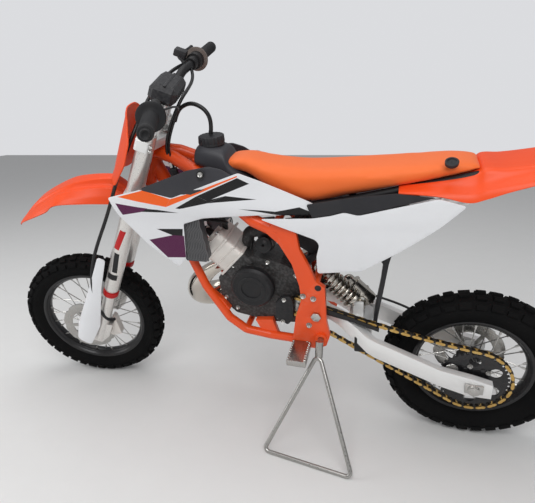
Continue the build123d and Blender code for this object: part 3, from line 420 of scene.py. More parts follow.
def finish(name, colour, shade, roughness, metallic=0.0, grainScale=900.0, bump=0.1,
           bumpDepth=0.0002, worn=None, wearAmount=0.5, dustAmount=0.15, gloss=0.0,
           stretch=None, painted=None, sheen=0.0, shine=0.5):
    made = bpy.data.materials.new(name)
    made.use_nodes = True
    tree = made.node_tree
    shader = tree.nodes["Principled BSDF"]
    fine = grouped(tree, grain, {"Scale": grainScale})
    blend = wire(tree, "ShaderNodeMix", {
        "Factor": fine.outputs["Mottle"], 6: solid(colour), 7: solid(shade)}, data_type="RGBA")
    colourNow = blend.outputs[2]
    if painted:
        colourNow = painted(tree, colourNow)
    if worn:
        edged = grouped(tree, wear, {"Color": colourNow, "Worn": solid(worn),
                                     "Amount": wearAmount})
        colourNow = edged.outputs["Color"]
    dusty = grouped(tree, dust, {"Color": colourNow, "Amount": dustAmount})
    tree.links.new(dusty.outputs["Color"], shader.inputs["Base Color"])
    height = fine.outputs["Height"]
    if stretch:
        height = grouped(tree, brush, {"Stretch": stretch}).outputs["Height"]
    low, high = roughness
    rough = wire(tree, "ShaderNodeMapRange", {
        "Value": height, "From Min": 0.3, "From Max": 0.7, "To Min": low, "To Max": high})
    total = wire(tree, "ShaderNodeMath", {0: rough.outputs[0], 1: dusty.outputs["Mask"]},
                 operation="MAXIMUM")
    tree.links.new(total.outputs[0], shader.inputs["Roughness"])
    relief = wire(tree, "ShaderNodeBump", {
        "Strength": bump, "Distance": bumpDepth, "Height": height})
    tree.links.new(relief.outputs["Normal"], shader.inputs["Normal"])
    shader.inputs["Metallic"].default_value = metallic
    shader.inputs["Coat Weight"].default_value = gloss
    shader.inputs["Coat Roughness"].default_value = 0.12
    shader.inputs["Sheen Weight"].default_value = sheen
    shader.inputs["Specular IOR Level"].default_value = shine
    return made


def sidePlace(tree):
    back = bikeFrame.inverted()
    scale = back.to_scale()
    turn = back.to_euler()
    place = wire(tree, "ShaderNodeTexCoord").outputs["Object"]
    mapped = wire(tree, "ShaderNodeMapping", {
        "Vector": place, "Location": back.translation, "Rotation": turn, "Scale": scale})
    flat = wire(tree, "ShaderNodeVectorMath", {0: mapped.outputs[0], 1: (1, 0, 1)},
                operation="MULTIPLY")
    return flat.outputs[0]


def shapeMask(tree, place, outline):
    middle = Vector((sum(x for x, z in outline), 0, sum(z for x, z in outline))) / len(outline)
    mask = None
    for (x0, z0), (x1, z1) in zip(outline, outline[1:] + outline[:1]):
        start = Vector((x0, 0, z0))
        inward = Vector((z0 - z1, 0, x1 - x0)).normalized()
        if inward.dot(middle - start) < 0:
            inward = -inward
        sockets = {"Place": place, "Point": start, "Inward": inward}
        if mask:
            sockets["Mask"] = mask
        mask = grouped(tree, paintEdge, sockets).outputs["Mask"]
    return mask


# Flat colours on the shrouds, seen from the side: each shape is convex.
graphics = {
    "orange": ((0.92, 0.130, 0.015), [
        [(791, 657), (728, 671), (667, 648), (678, 630)],
        [(667, 648), (606, 663), (606, 656), (678, 630)],
        [(606, 663), (514, 695), (514, 692), (606, 656)],
    ]),
    "black": ((0.006, 0.006, 0.007), [
        [(657, 626), (607, 652), (583, 640), (640, 625)],
        [(607, 652), (514, 690), (489, 676), (583, 640)],
        [(657, 626), (543, 650), (584, 635), (648, 624)],
        [(543, 650), (475, 640), (584, 635)],
        [(515, 619), (435, 612), (441, 605)],
        [(435, 612), (383, 623), (347, 608), (375, 598), (441, 605)],
        [(735, 629), (700, 624), (651, 614), (737, 620)],
        [(712, 573), (650, 571), (654, 548), (676, 554)],
    ]),
    "plum": ((0.090, 0.010, 0.060), [
        [(798, 642), (722, 628), (737, 620), (786, 612)],
        [(735, 544), (676, 555), (650, 552), (655, 492), (699, 493)],
    ]),
}


def shroudPaint(tree, colour):
    place = sidePlace(tree)
    for paint, shapes in graphics.values():
        for outline in shapes:
            mask = shapeMask(tree, place, outline)
            colour = wire(tree, "ShaderNodeMix", {
                "Factor": mask, 6: colour, 7: solid(paint)}, data_type="RGBA").outputs[2]
    return colour


orangePlastic = finish("orangePlastic", (0.90, 0.085, 0.012), (0.82, 0.070, 0.010),
                       (0.34, 0.46), grainScale=700, bump=0.08, shine=0.35,
                       worn=(0.95, 0.20, 0.06), wearAmount=0.3, dustAmount=0.02)
orangePaint = finish("orangePaint", (0.84, 0.085, 0.010), (0.74, 0.068, 0.008),
                     (0.28, 0.38), grainScale=420, bump=0.2, shine=0.45,
                     worn=(0.6, 0.30, 0.2), wearAmount=0.15, dustAmount=0.02)
whitePlastic = finish("whitePlastic", (0.80, 0.81, 0.83), (0.76, 0.77, 0.79), (0.28, 0.40),
                      grainScale=700, bump=0.06, gloss=0.1, worn=(0.7, 0.7, 0.7),
                      wearAmount=0.3, dustAmount=0.03)
shroudFinish = finish("shroudFinish", (0.80, 0.81, 0.83), (0.76, 0.77, 0.79), (0.25, 0.36),
                      grainScale=700, bump=0.05, shine=0.3, dustAmount=0.02,
                      painted=shroudPaint)
blackPlastic = finish("blackPlastic", (0.014, 0.014, 0.017), (0.022, 0.022, 0.026),
                      (0.42, 0.60), grainScale=1300, bump=0.5, bumpDepth=0.0004,
                      worn=(0.06, 0.06, 0.06), dustAmount=0.02, shine=0.35)
tankPlastic = finish("tankPlastic", (0.030, 0.030, 0.036), (0.042, 0.042, 0.050),
                     (0.40, 0.56), grainScale=900, bump=0.4, bumpDepth=0.0004,
                     worn=(0.07, 0.07, 0.07), dustAmount=0.02, shine=0.4)
louvreGrey = finish("louvreGrey", (0.16, 0.16, 0.165), (0.12, 0.12, 0.125),
                    (0.40, 0.56), grainScale=900, bump=0.4, bumpDepth=0.0004,
                    worn=(0.07, 0.07, 0.07), dustAmount=0.02, shine=0.4)
seatVinyl = finish("seatVinyl", (0.92, 0.175, 0.030), (0.86, 0.150, 0.024), (0.48, 0.62),
                   grainScale=1100, bump=0.6, bumpDepth=0.0005, worn=(0.95, 0.26, 0.07),
                   wearAmount=0.3, dustAmount=0.02, sheen=0.1, shine=0.35)
tyreRubber = finish("tyreRubber", (0.0045, 0.0045, 0.005), (0.009, 0.009, 0.009),
                    (0.55, 0.80), grainScale=600, bump=0.6, bumpDepth=0.0006,
                    worn=(0.018, 0.017, 0.016), wearAmount=0.2, dustAmount=0.004, shine=0.05)
gripRubber = finish("gripRubber", (0.012, 0.012, 0.014), (0.020, 0.021, 0.023), (0.6, 0.8),
                    grainScale=1500, bump=0.5, worn=(0.07, 0.07, 0.07), dustAmount=0.03,
                    shine=0.3)
hoseRubber = finish("hoseRubber", (0.005, 0.005, 0.006), (0.009, 0.009, 0.010), (0.32, 0.45),
                    grainScale=1500, bump=0.2, dustAmount=0.02, shine=0.4)
rimBlack = finish("rimBlack", (0.006, 0.006, 0.007), (0.011, 0.011, 0.013), (0.25, 0.38),
                  grainScale=500, bump=0.08, gloss=0.15, worn=(0.25, 0.25, 0.25),
                  wearAmount=0.3, dustAmount=0.03, shine=0.4)
blackCoat = finish("blackCoat", (0.006, 0.006, 0.007), (0.011, 0.011, 0.013), (0.42, 0.58),
                   grainScale=1000, bump=0.35, bumpDepth=0.0003, worn=(0.2, 0.2, 0.2),
                   wearAmount=0.25, dustAmount=0.02, shine=0.35)
caseCoat = finish("caseCoat", (0.034, 0.033, 0.033), (0.022, 0.021, 0.021), (0.42, 0.58),
                  grainScale=1000, bump=0.35, bumpDepth=0.0003, worn=(0.2, 0.2, 0.2),
                  wearAmount=0.25, dustAmount=0.02, shine=0.35)
castAlloy = finish("castAlloy", (0.86, 0.82, 0.77), (0.72, 0.68, 0.64), (0.38, 0.56),
                   metallic=0.3, grainScale=800, bump=0.7, bumpDepth=0.0006,
                   worn=(0.85, 0.84, 0.80), dustAmount=0.15)
satinAlloy = finish("satinAlloy", (0.88, 0.88, 0.87), (0.80, 0.80, 0.79), (0.28, 0.40),
                    metallic=0.35, bump=0.12, worn=(0.85, 0.85, 0.85),
                    dustAmount=0.03, stretch=(60.0, 900.0, 900.0))
forkAlloy = finish("forkAlloy", (0.78, 0.76, 0.73), (0.70, 0.68, 0.65), (0.26, 0.38),
                   metallic=0.7, grainScale=500, bump=0.06, gloss=0.2,
                   worn=(0.8, 0.79, 0.77), dustAmount=0.03)
plainSteel = finish("plainSteel", (0.50, 0.49, 0.47), (0.38, 0.37, 0.35), (0.24, 0.38),
                    metallic=1.0, bump=0.15, worn=(0.7, 0.7, 0.7), dustAmount=0.06,
                    stretch=(500.0, 500.0, 60.0))
boltSteel = finish("boltSteel", (0.60, 0.59, 0.57), (0.46, 0.45, 0.43), (0.22, 0.34),
                   metallic=1.0, grainScale=1500, bump=0.1, dustAmount=0.05)
pipeChrome = finish("pipeChrome", (0.74, 0.71, 0.66), (0.56, 0.50, 0.42), (0.08, 0.18),
                    metallic=1.0, grainScale=300, bump=0.05, dustAmount=0.03)
nickelCoat = finish("nickelCoat", (0.70, 0.66, 0.60), (0.50, 0.46, 0.41), (0.16, 0.28),
                    metallic=1.0, grainScale=500, bump=0.1, worn=(0.7, 0.68, 0.62),
                    dustAmount=0.06)
chainGold = finish("chainGold", (0.66, 0.42, 0.13), (0.52, 0.31, 0.08), (0.26, 0.40),
                   metallic=0.9, grainScale=1500, bump=0.1, worn=(0.85, 0.66, 0.30),
                   dustAmount=0.03)
chainDark = finish("chainDark", (0.07, 0.06, 0.05), (0.04, 0.035, 0.03), (0.30, 0.45),
                   metallic=0.8, grainScale=1500, bump=0.1, dustAmount=0.05)
redCoat = finish("redCoat", (0.55, 0.006, 0.008), (0.42, 0.004, 0.006), (0.3, 0.4),
                 grainScale=700, bump=0.1, dustAmount=0.02, shine=0.35)
# Radiator core: aluminium darkened to grey, painted shade of the fins and louvres laid into its
# colour
coreAlloyPaintedShade = finish("coreAlloyPaintedShade", (0.10, 0.10, 0.11), (0.06, 0.06, 0.07), (0.4, 0.55),
                   metallic=0.6, grainScale=700, bump=0.3, dustAmount=0.06)
smokedPlastic = finish("smokedPlastic", (0.20, 0.17, 0.15), (0.14, 0.11, 0.10), (0.16, 0.26),
                       grainScale=700, bump=0.1, dustAmount=0.03)
tagPlastic = finish("tagPlastic", (0.80, 0.80, 0.78), (0.72, 0.72, 0.70), (0.35, 0.5),
                    grainScale=900, bump=0.1, dustAmount=0.03)
print("finishes made")


# CAD pieces that keep their shape: a copy with eased edges takes the node's place.
def eased(node, body, slot, coat, width):
    piece = bpy.data.objects.new(node + "Piece", frame["nodes"][node].data.copy())
    bpy.context.scene.collection.objects.link(piece)
    only(piece)
    bpy.ops.mesh.customdata_custom_splitnormals_clear()
    inEdit(piece)
    bpy.ops.mesh.remove_doubles(threshold=0.00001)
    bpy.ops.mesh.dissolve_limited(angle_limit=math.radians(0.6))
    bpy.ops.mesh.select_all(action="SELECT")
    bpy.ops.mesh.normals_make_consistent(inside=False)
    bpy.ops.object.mode_set(mode="OBJECT")
    soften(piece, width * stance["millimetre"], angle=32)
    modify(piece, "WEIGHTED_NORMAL", keep_sharp=True)
    setDown(piece, Matrix.Identity(4), body, slot, coat, [node])


easedNodes = {
    "chassis": [
        ("frame", "orange_paint", orangePaint, 1.2), ("subframe", "black_metal", blackCoat, 0.8),
        ("swingarm", "aluminium", satinAlloy, 2.0), ("pivot_bolt", "steel", boltSteel, 0.8),
        ("rear_axle", "steel", boltSteel, 0.8), ("crankcase", "cast_aluminium", caseCoat, 2.0),
        ("cylinder", "cast_aluminium", castAlloy, 2.0),
        ("cylinder_head", "cast_aluminium", castAlloy, 2.0),
        ("ignition_cover", "black_metal", blackCoat, 1.2),
        ("sprocket_cover", "black_metal", blackCoat, 1.5),
        ("clutch_cover", "black_metal", blackCoat, 1.5),
        ("carburettor", "cast_aluminium", caseCoat, 1.0),
        ("airbox", "black_plastic", blackPlastic, 2.0),
        ("silencer", "aluminium", satinAlloy, 1.5), ("radiators", "cast_aluminium", coreAlloyPaintedShade, 1),
        ("drive_sprocket", "steel", plainSteel, 0.5),
        ("rear_caliper", "cast_aluminium", castAlloy, 1.5),
        ("footpegs", "steel", plainSteel, 1.0), ("triangle_stand", "steel", plainSteel, 0.6),
    ],
    "rear_wheel": [
        ("rear_disc", "steel", plainSteel, 0.3), ("rear_sprocket", "black_anodised", rimBlack, 0.3),
    ],
    "front_wheel": [("front_disc", "steel", plainSteel, 0.3)],
    "steering": [
        ("lower_clamp", "cast_aluminium", satinAlloy, 1.5),
        ("upper_clamp", "cast_aluminium", satinAlloy, 1.5),
        ("handlebar", "black_metal", blackCoat, 0.8),
        ("right_controls", "black_metal", blackCoat, 1.0),
        ("fork_tubes", "aluminium", forkAlloy, 0.8), ("fork_legs", "cast_aluminium", forkAlloy, 1.2),
        ("front_caliper", "cast_aluminium", castAlloy, 1.5),
        ("front_axle", "steel", boltSteel, 0.8),
    ],
}
for body, entries in easedNodes.items():
    for node, slot, coat, width in entries:
        eased(node, body, slot, coat, width)
print("CAD pieces eased")

# Tyres.
tyres = {
    "front": {"radius": 215.0, "width": 66.0, "crown": 37.0, "bead": 152.0, "knob": 8.0,
              "rows": 40},
    "rear": {"radius": 200.0, "width": 72.0, "crown": 40.0, "bead": 127.0, "knob": 9.0,
             "rows": 36},
}


def knobAt(size, turn, lateral, radius, tilt, length):
    piece = block("knob", (-length / 2, -size[0] / 2, -6), (length / 2, size[0] / 2, size[1]), 1.3)
    piece.data.transform(
        Matrix.Rotation(turn, 4, "Y") @ Matrix.Translation((0, lateral, radius))
        @ Matrix.Rotation(tilt, 4, "X")
    )
    return piece


def makeTyre(name, size, where, body, node):
    half = size["width"] / 2
    carcass = size["radius"] - size["knob"]
    middle = (size["bead"] + carcass) / 2
    profile = [
        (-16, size["bead"] + 1), (-18.5, size["bead"] + 5), (-half * 0.72, size["bead"] + 13),
        (-half * 0.90, middle), (-half * 0.88, carcass - 19), (-half * 0.72, carcass - 8),
        (-half * 0.40, carcass - 1.5), (0, carcass), (half * 0.40, carcass - 1.5),
        (half * 0.72, carcass - 8), (half * 0.88, carcass - 19), (half * 0.90, middle),
        (half * 0.72, size["bead"] + 13), (18.5, size["bead"] + 5), (16, size["bead"] + 1),
        (0, size["bead"]),
    ]

    def place(u, v):
        y, r = along(profile + profile[:1], v)
        ring = 0.9 * math.exp(-((r - size["bead"] - 11) / 1.6) ** 2)
        turn = 2 * math.pi * u
        return (math.sin(turn) * (r + ring), y, math.cos(turn) * (r + ring))

    tyre = shapedGrid(name, 96, 46, place, closed=True)
    pitch = 2 * math.pi / size["rows"]
    knobs = []
    rowLength = pitch * size["radius"]
    for row in range(size["rows"]):
        turn = row * pitch
        if row % 2:
            spots = [(0, 0, 17, 0.56)] if row % 4 == 1 else [(-9, 0, 11, 0.5), (9, 0, 11, 0.5)]
            spots += [(-1, 1, 13, 0.62), (1, 1, 13, 0.62)]
        else:
            spots = [(-12, 0, 12, 0.5), (12, 0, 12, 0.5), (-1, 2, 12, 0.55), (1, 2, 12, 0.55)]
        for lateral, edge, width, share in spots:
            length = rowLength * share * 1.15
            if edge:
                tilt = -lateral * (0.62 if edge == 1 else 0.85)
                side = lateral * half * (0.74 if edge == 1 else 0.80)
                drop = 10.5 if edge == 1 else 13.5
            else:
                tilt, side, drop = -lateral * 0.02, lateral, abs(lateral) * 0.08 + 0.5
            knobs.append(knobAt((width, size["knob"]), turn, side, carcass - drop, tilt, length))
    tyre = joined(name, tyre, *knobs)
    for vertex in tyre.data.vertices:
        vertex.co.y = max(-half, min(half, vertex.co.y))
        reach = math.hypot(vertex.co.x, vertex.co.z)
        crown = size["radius"] - size["crown"] + math.sqrt(size["crown"]**2 - vertex.co.y**2)
        if reach > crown:
            vertex.co.x *= crown / reach
            vertex.co.z *= crown / reach
    return setDown(tyre, where, body, "tyre", tyreRubber, [node], angle=40)


makeTyre("frontTyre", tyres["front"], frontFrame, "front_wheel", "front_tyre")
makeTyre("rearTyre", tyres["rear"], rearFrame, "rear_wheel", "rear_tyre")
print("tyres made")

# Rims, hubs and spokes.
wheels = {
    "front": {"bead": 152.0, "hub": 32.0, "spokes": 32, "cross": 38.0},
    "rear": {"bead": 127.0, "hub": 31.0, "spokes": 28, "cross": 38.0},
}


def lathe(name, profile, steps):
    def place(u, v):
        y, r = along(profile, v)
        turn = 2 * math.pi * u
        return (math.sin(turn) * r, y, math.cos(turn) * r)

    return shapedGrid(name, steps, (len(profile) - 1) * 3 + 1, place, closed=True)


def makeWheel(name, size, where, body, node):
    bead, hub = size["bead"], size["hub"]
    rim = lathe(name + "Rim", [
        (-19, bead + 6), (-17.6, bead + 6.4), (-16.6, bead + 5), (-16, bead + 0.5),
        (-8, bead - 1.5), (0, bead - 6), (8, bead - 1.5), (16, bead + 0.5), (16.6, bead + 5),
        (17.6, bead + 6.4), (19, bead + 6), (19, bead - 1), (14, bead - 5), (9, bead - 10),
        (0, bead - 11.5), (-9, bead - 10), (-14, bead - 5), (-19, bead - 1), (-19, bead + 6),
    ], 96)
    setDown(rim, where, body, "black_anodised", rimBlack, [node])
    barrel = lathe(name + "Hub", [
        (-hub, 9), (-hub, 27), (-hub + 1, 29), (-hub + 3, 29), (-hub + 4.4, 27),
        (-hub + 7, 19), (-hub + 14, 16), (0, 15.4), (hub - 14, 16), (hub - 7, 19),
        (hub - 4.4, 27), (hub - 3, 29), (hub - 1, 29), (hub, 27), (hub, 9), (hub - 2, 8),
        (2 - hub, 8), (-hub, 9),
    ], 48)
    setDown(barrel, where, body, "black_anodised", rimBlack)
    rods, nipples = [], []
    for index in range(size["spokes"]):
        side = 1 if index % 2 else -1
        cross = math.radians(size["cross"] if index % 4 < 2 else -size["cross"])
        rimTurn = 2 * math.pi / size["spokes"] * index
        start = Vector((math.cos(rimTurn + cross) * 25, side * (hub - 1.4),
                        math.sin(rimTurn + cross) * 25))
        end = Vector((math.cos(rimTurn) * (bead - 8), side * 4, math.sin(rimTurn) * (bead - 8)))
        run = end - start
        rods.append(disc("rod", (start + end) / 2, run, 1.35, run.length, 8))
        nipples.append(disc("nipple", end - run.normalized() * 5, run, 2.7, 13, 8))
        rods.append(disc("rodHead", start, (0, 1, 0), 2.6, 6, 8))
    setDown(joined(name + "Spokes", *rods), where, body, "steel", boltSteel)
    setDown(joined(name + "Nipples", *nipples), where, body, "steel", boltSteel)


makeWheel("front", wheels["front"], frontFrame, "front_wheel", "front_spoked_rim")
makeWheel("rear", wheels["rear"], rearFrame, "rear_wheel", "rear_spoked_rim")
print("wheels made")

# Chain.
chainSize = {"pitch": 12.7, "rear": 80.94, "drive": 22.54, "driveX": 400.0, "driveZ": 355.0,
             "sag": 10.0, "y": 57.0, "plate": 1.5, "inner": 3.2, "height": 8.6}


def chainSpan():
    rise = chainSize["driveZ"] - stance["rearRadius"]
    distance = math.hypot(chainSize["driveX"], rise)
    tilt = math.atan2(rise, chainSize["driveX"])
    spread = math.asin((chainSize["rear"] - chainSize["drive"]) / distance)
    run = distance * math.cos(spread)
    rearArc = (math.pi + 2 * spread) * chainSize["rear"]
    driveArc = (math.pi - 2 * spread) * chainSize["drive"]
    return tilt - spread, tilt + spread, run, driveArc, 2 * run + rearArc + driveArc


def chainPoint(share):
    upper, lower, run, driveArc, total = chainSpan()
    axleZ = stance["rearRadius"]
    reach = (share % 1) * total
    if reach < run:
        turn = upper + math.pi / 2
        start = Vector((math.cos(turn), math.sin(turn))) * chainSize["rear"]
        part = reach / run
        drop = 4 * chainSize["sag"] * part * (1 - part)
        spot = start + Vector((math.cos(upper), math.sin(upper))) * reach
        return spot.x + drop * math.sin(upper), spot.y - drop * math.cos(upper) + axleZ
    reach -= run
    if reach < driveArc:
        turn = upper + math.pi / 2 - reach / chainSize["drive"]
        return (chainSize["driveX"] + math.cos(turn) * chainSize["drive"],
                chainSize["driveZ"] + math.sin(turn) * chainSize["drive"])
    reach -= driveArc
    if reach < run:
        turn = lower - math.pi / 2
        start = Vector((chainSize["driveX"], chainSize["driveZ"] - axleZ))
        start += Vector((math.cos(turn), math.sin(turn))) * chainSize["drive"]
        spot = start - Vector((math.cos(lower), math.sin(lower))) * reach
        return spot.x, spot.y + axleZ
    reach -= run
    turn = lower - math.pi / 2 - reach / chainSize["rear"]
    return math.cos(turn) * chainSize["rear"], math.sin(turn) * chainSize["rear"] + axleZ


def plateShape(y):
    pitch, high = chainSize["pitch"], chainSize["height"]

    def place(u, v):
        turn = 2 * math.pi * u
        x, z = math.cos(turn) * (pitch / 2 + high / 2), math.sin(turn) * high / 2
        waist = 1 - 0.30 * math.exp(-((x / (pitch * 0.28)) ** 2))
        return (x, y + (v - 0.5) * chainSize["plate"], z * waist)

    return shapedGrid("link", 17, 2, place, closed=True)


def makeChain():
    total = chainSpan()[-1]
    count = 2 * round(total / chainSize["pitch"] / 2)
    outerLinks, innerLinks, rollers = [], [], []
    reach = chainSize["inner"] + chainSize["plate"] / 2
    for index in range(count):
        x0, z0 = chainPoint(index / count)
        x1, z1 = chainPoint((index + 1) / count)
        outer = chainSize["plate"] if index % 2 else 0
        turn = Matrix.Translation(((x0 + x1) / 2, chainSize["y"], (z0 + z1) / 2))
        turn @= Matrix.Rotation(-math.atan2(z1 - z0, x1 - x0), 4, "Y")
        for side in (-1, 1):
            link = plateShape(side * (reach + outer))
            link.data.transform(turn)
            (outerLinks if outer else innerLinks).append(link)
        rollers.append(disc("roller", (x0, chainSize["y"], z0), (0, 1, 0), 3.9, 6.2, 10))
        rollers.append(disc("pin", (x0, chainSize["y"], z0), (0, 1, 0), 1.9, 11.4, 8))
    setDown(joined("chainPlates", *outerLinks), bikeFrame, "chassis", "gold_steel", chainGold,
            ["chain"])
    setDown(joined("innerPlates", *innerLinks), bikeFrame, "chassis", "gold_steel", chainDark)
    setDown(joined("chainRollers", *rollers), bikeFrame, "chassis", "steel", chainDark)


makeChain()
print("chain made")

# Seat.
seatShape = {
    "top": [(556, 704), (548, 717), (508, 717), (462, 706), (395, 697), (330, 696), (188, 703),
            (95, 710), (46, 709)],
    "bottom": [(558, 695), (540, 690), (505, 682), (452, 651), (372, 622), (279, 640), (184, 664),
               (113, 680), (40, 700)],
    "half": [34, 42, 49, 60, 66, 68, 69, 60, 50],
    "voxel": 6.0, "pressure": 2.0, "frames": 12, "swell": 2.0, "topAbove": 690, "topSwell": 1.2,
}


def seatPoint(u, v):
    topX, topZ = along(seatShape["top"], v)
    lowX, lowZ = along(seatShape["bottom"], v)
    half = along([(h,) for h in seatShape["half"]], v)[0]
    turn = 2 * math.pi * u
    side, rise = math.cos(turn), math.sin(turn)
    power = 0.55
    y = math.copysign(abs(side) ** power, side) * half
    level = math.copysign(abs(rise) ** (0.75 if rise > 0 else 0.35), rise)
    share = (level + 1) / 2
    tuck = 1 - 0.16 * (1 - share) ** 1.5
    return (lowX + (topX - lowX) * share, y * tuck, lowZ + (topZ - lowZ) * share)


def makeSeat():
    seat = shapedGrid("seatCushion", 49, 60, seatPoint, closed=True)
    modify(seat, "REMESH", mode="VOXEL", voxel_size=seatShape["voxel"])
    rest = [vertex.co.copy() for vertex in seat.data.vertices]
    seat.data.transform(Matrix.Scale(stance["millimetre"], 4))
    only(seat)
    cloth = seat.modifiers.new("cloth", "CLOTH")
    cloth.settings.use_pressure = True
    cloth.settings.uniform_pressure_force = seatShape["pressure"]
    cloth.settings.effector_weights.gravity = 0
    cloth.point_cache.frame_start, cloth.point_cache.frame_end = 1, seatShape["frames"]
    for step in range(1, seatShape["frames"] + 1):
        bpy.context.scene.frame_set(step)
    bpy.ops.object.modifier_apply(modifier="cloth")
    bpy.context.scene.frame_set(1)
    seat.data.transform(Matrix.Scale(1 / stance["millimetre"], 4))
    for vertex, start in zip(seat.data.vertices, rest):
        move = vertex.co - start
        if move.length > seatShape["swell"]:
            vertex.co = start + move.normalized() * seatShape["swell"]
        if start.z > seatShape["topAbove"]:
            vertex.co.z = min(vertex.co.z, start.z + seatShape["topSwell"])
    modify(seat, "SMOOTH", factor=0.5, iterations=8)
    modify(seat, "SUBSURF", levels=1, render_levels=1)
    setDown(seat, bikeFrame, "chassis", "seat_cover", seatVinyl, ["seat"], angle=60)


makeSeat()
seatBolt = lathe("seatBolt", [(-6, 1), (-6, 11), (1.2, 12.5), (2.4, 12), (2.6, 9), (0.4, 8),
                              (0.4, 1), (-6, 1)], 32)
seatBolt.data.transform(Matrix.Translation((95, 58, 717)) @ Matrix.Rotation(1.15, 4, "X"))
setDown(seatBolt, bikeFrame, "chassis", "black_plastic", blackPlastic)
print("seat made")

# Shrouds, covers and panels.
bodywork = {
    "wallLine": [(818, 138), (745, 131), (660, 116), (560, 98), (470, 84), (360, 77), (310, 77)],
    "panelLine": [(480, 92), (350, 86), (200, 88), (110, 91), (55, 89)],
    "shroud": [(815, 655), (735, 672), (664, 650), (512, 700), (365, 636), (318, 612),
               (355, 604), (468, 602), (600, 597), (646, 584), (655, 490), (677, 466),
               (737, 528), (795, 606)],
    "cover": [(733, 675), (624, 710), (577, 716), (548, 708), (520, 690), (664, 640),
              (722, 662)],
    "panel": [(468, 596), (400, 569), (349, 548), (341, 536), (348, 504), (347, 458),
              (250, 474), (170, 536), (108, 590), (62, 640), (112, 654), (260, 611),
              (289, 617), (316, 608), (355, 600)],
    "trim": [(367, 631), (279, 648), (190, 660), (118, 654), (262, 612.6), (290, 618.6),
             (317, 609.8), (355, 601.6)],
    "wall": 3.0,
}


def shroudDepth(x, z):
    crown = 7.0 * math.exp(-((z - 622 - 0.05 * (x - 560)) / 26) ** 2) - 5.0
    wing = -10.0 * max(0, (590 - z) / 120) ** 1.2
    ridge = -2.0 / (1 + math.exp((z - 604) / 3))
    return atX(bodywork["wallLine"], x) + crown * 0.6 + wing + ridge


def coverDepth(x, z):
    return atX(bodywork["wallLine"], x) - 1.5 - 9.0 * max(0, (z - 640) / 75) ** 2


def panelDepth(x, z):
    lower = -11.0 * max(0, (560 - z) / 100) ** 1.3
    crease = 3.0 / (1 + math.exp(-(z - (575 + 0.10 * (300 - x))) / 4))
    return atX(bodywork["panelLine"], x) - 3.0 + lower + crease


def trimDepth(x, z):
    return atX(bodywork["panelLine"], x) - 1.5 - 6.0 * max(0, (z - 620) / 40)


for side, label, node in ((1, "left", "left_shroud"), (-1, "right", "right_shroud")):
    shroud = outlined(label + "Shroud", bodywork["shroud"], shroudDepth, bodywork["wall"],
                      corner=4)
    if side < 0:
        shroud.data.transform(Matrix.Scale(-1, 4, (0, 1, 0)))
        weld(shroud)
    setDown(shroud, bikeFrame, "chassis", "white_plastic", shroudFinish, [node])
for name, line, depth, corner, slot, coat, node in (
        ("tankCovers", "cover", coverDepth, 5, "black_plastic", tankPlastic, "tank_covers"),
        ("sidePanels", "panel", panelDepth, 6, "white_plastic", whitePlastic, "side_panels"),
        ("seatTrims", "trim", trimDepth, 3, "black_plastic", blackPlastic, "seat_trims")):
    skin = outlined(name, bodywork[line], depth, bodywork["wall"], corner=corner)
    mirrored(skin)
    setDown(skin, bikeFrame, "chassis", slot, coat, [node])
print("shrouds and panels made")

# Tank and cap.
tankShape = {
    "rings": [
        (446, 640, 40, 34, 596), (480, 662, 46, 40, 598), (520, 686, 50, 44, 620),
        (548, 712, 52, 44, 650), (562, 734, 50, 40, 668), (600, 744, 50, 38, 688),
        (624, 742, 48, 36, 698), (629, 730, 44, 34, 704),
    ],
}


def tankPoint(u, v):
    x, top, half, topHalf, low = along(tankShape["rings"], v)
    turn = 2 * math.pi * u
    side, rise = math.cos(turn), math.sin(turn)
    level = math.copysign(abs(rise) ** 0.6, rise)
    share = (level + 1) / 2
    width = half + (topHalf - half) * share
    y = math.copysign(abs(side) ** 0.6, side) * width
    return (x, y, low + (top - low) * share)


tank = shapedGrid("fuelTank", 41, 40, tankPoint, closed=True)
modify(tank, "SUBSURF", levels=1, render_levels=1)
setDown(tank, bikeFrame, "chassis", "black_plastic", tankPlastic, ["fuel_tank"], angle=40)


capSize = {"x": 597, "z": 752, "radius": 31, "height": 17, "lobes": 20}


def makeCap():
    radius = capSize["radius"]
    bpy.ops.mesh.primitive_cylinder_add(vertices=72, radius=radius, depth=capSize["height"],
                                        location=(capSize["x"], 0, capSize["z"]))
    cap = addedAs("fuelCap")
    cap.data.transform(cap.matrix_basis)
    cap.matrix_basis = Matrix.Identity(4)
    for vertex in cap.data.vertices:
        turn = math.atan2(vertex.co.y, vertex.co.x - capSize["x"])
        dip = 1.8 * (0.5 + 0.5 * math.cos(capSize["lobes"] * turn))
        reach = radius - dip - 1.0 * (vertex.co.z > capSize["z"])
        vertex.co.x = capSize["x"] + math.cos(turn) * reach
        vertex.co.y = math.sin(turn) * reach
    soften(cap, 2.0, angle=50)
    stub = disc("capStub", (capSize["x"], 0, capSize["z"] + 14), (0, 0, 1), 4.6, 9, 20)
    skirt = disc("capSkirt", (capSize["x"], 0, capSize["z"] - 10), (0, 0, 1), radius - 1, 6, 48)
    soften(skirt, 1.5)
    return joined("fuelCap", cap, stub, skirt)


cap = makeCap()
setDown(cap, bikeFrame, "chassis", "black_plastic", blackPlastic, ["fuel_cap"])
print("tank made")

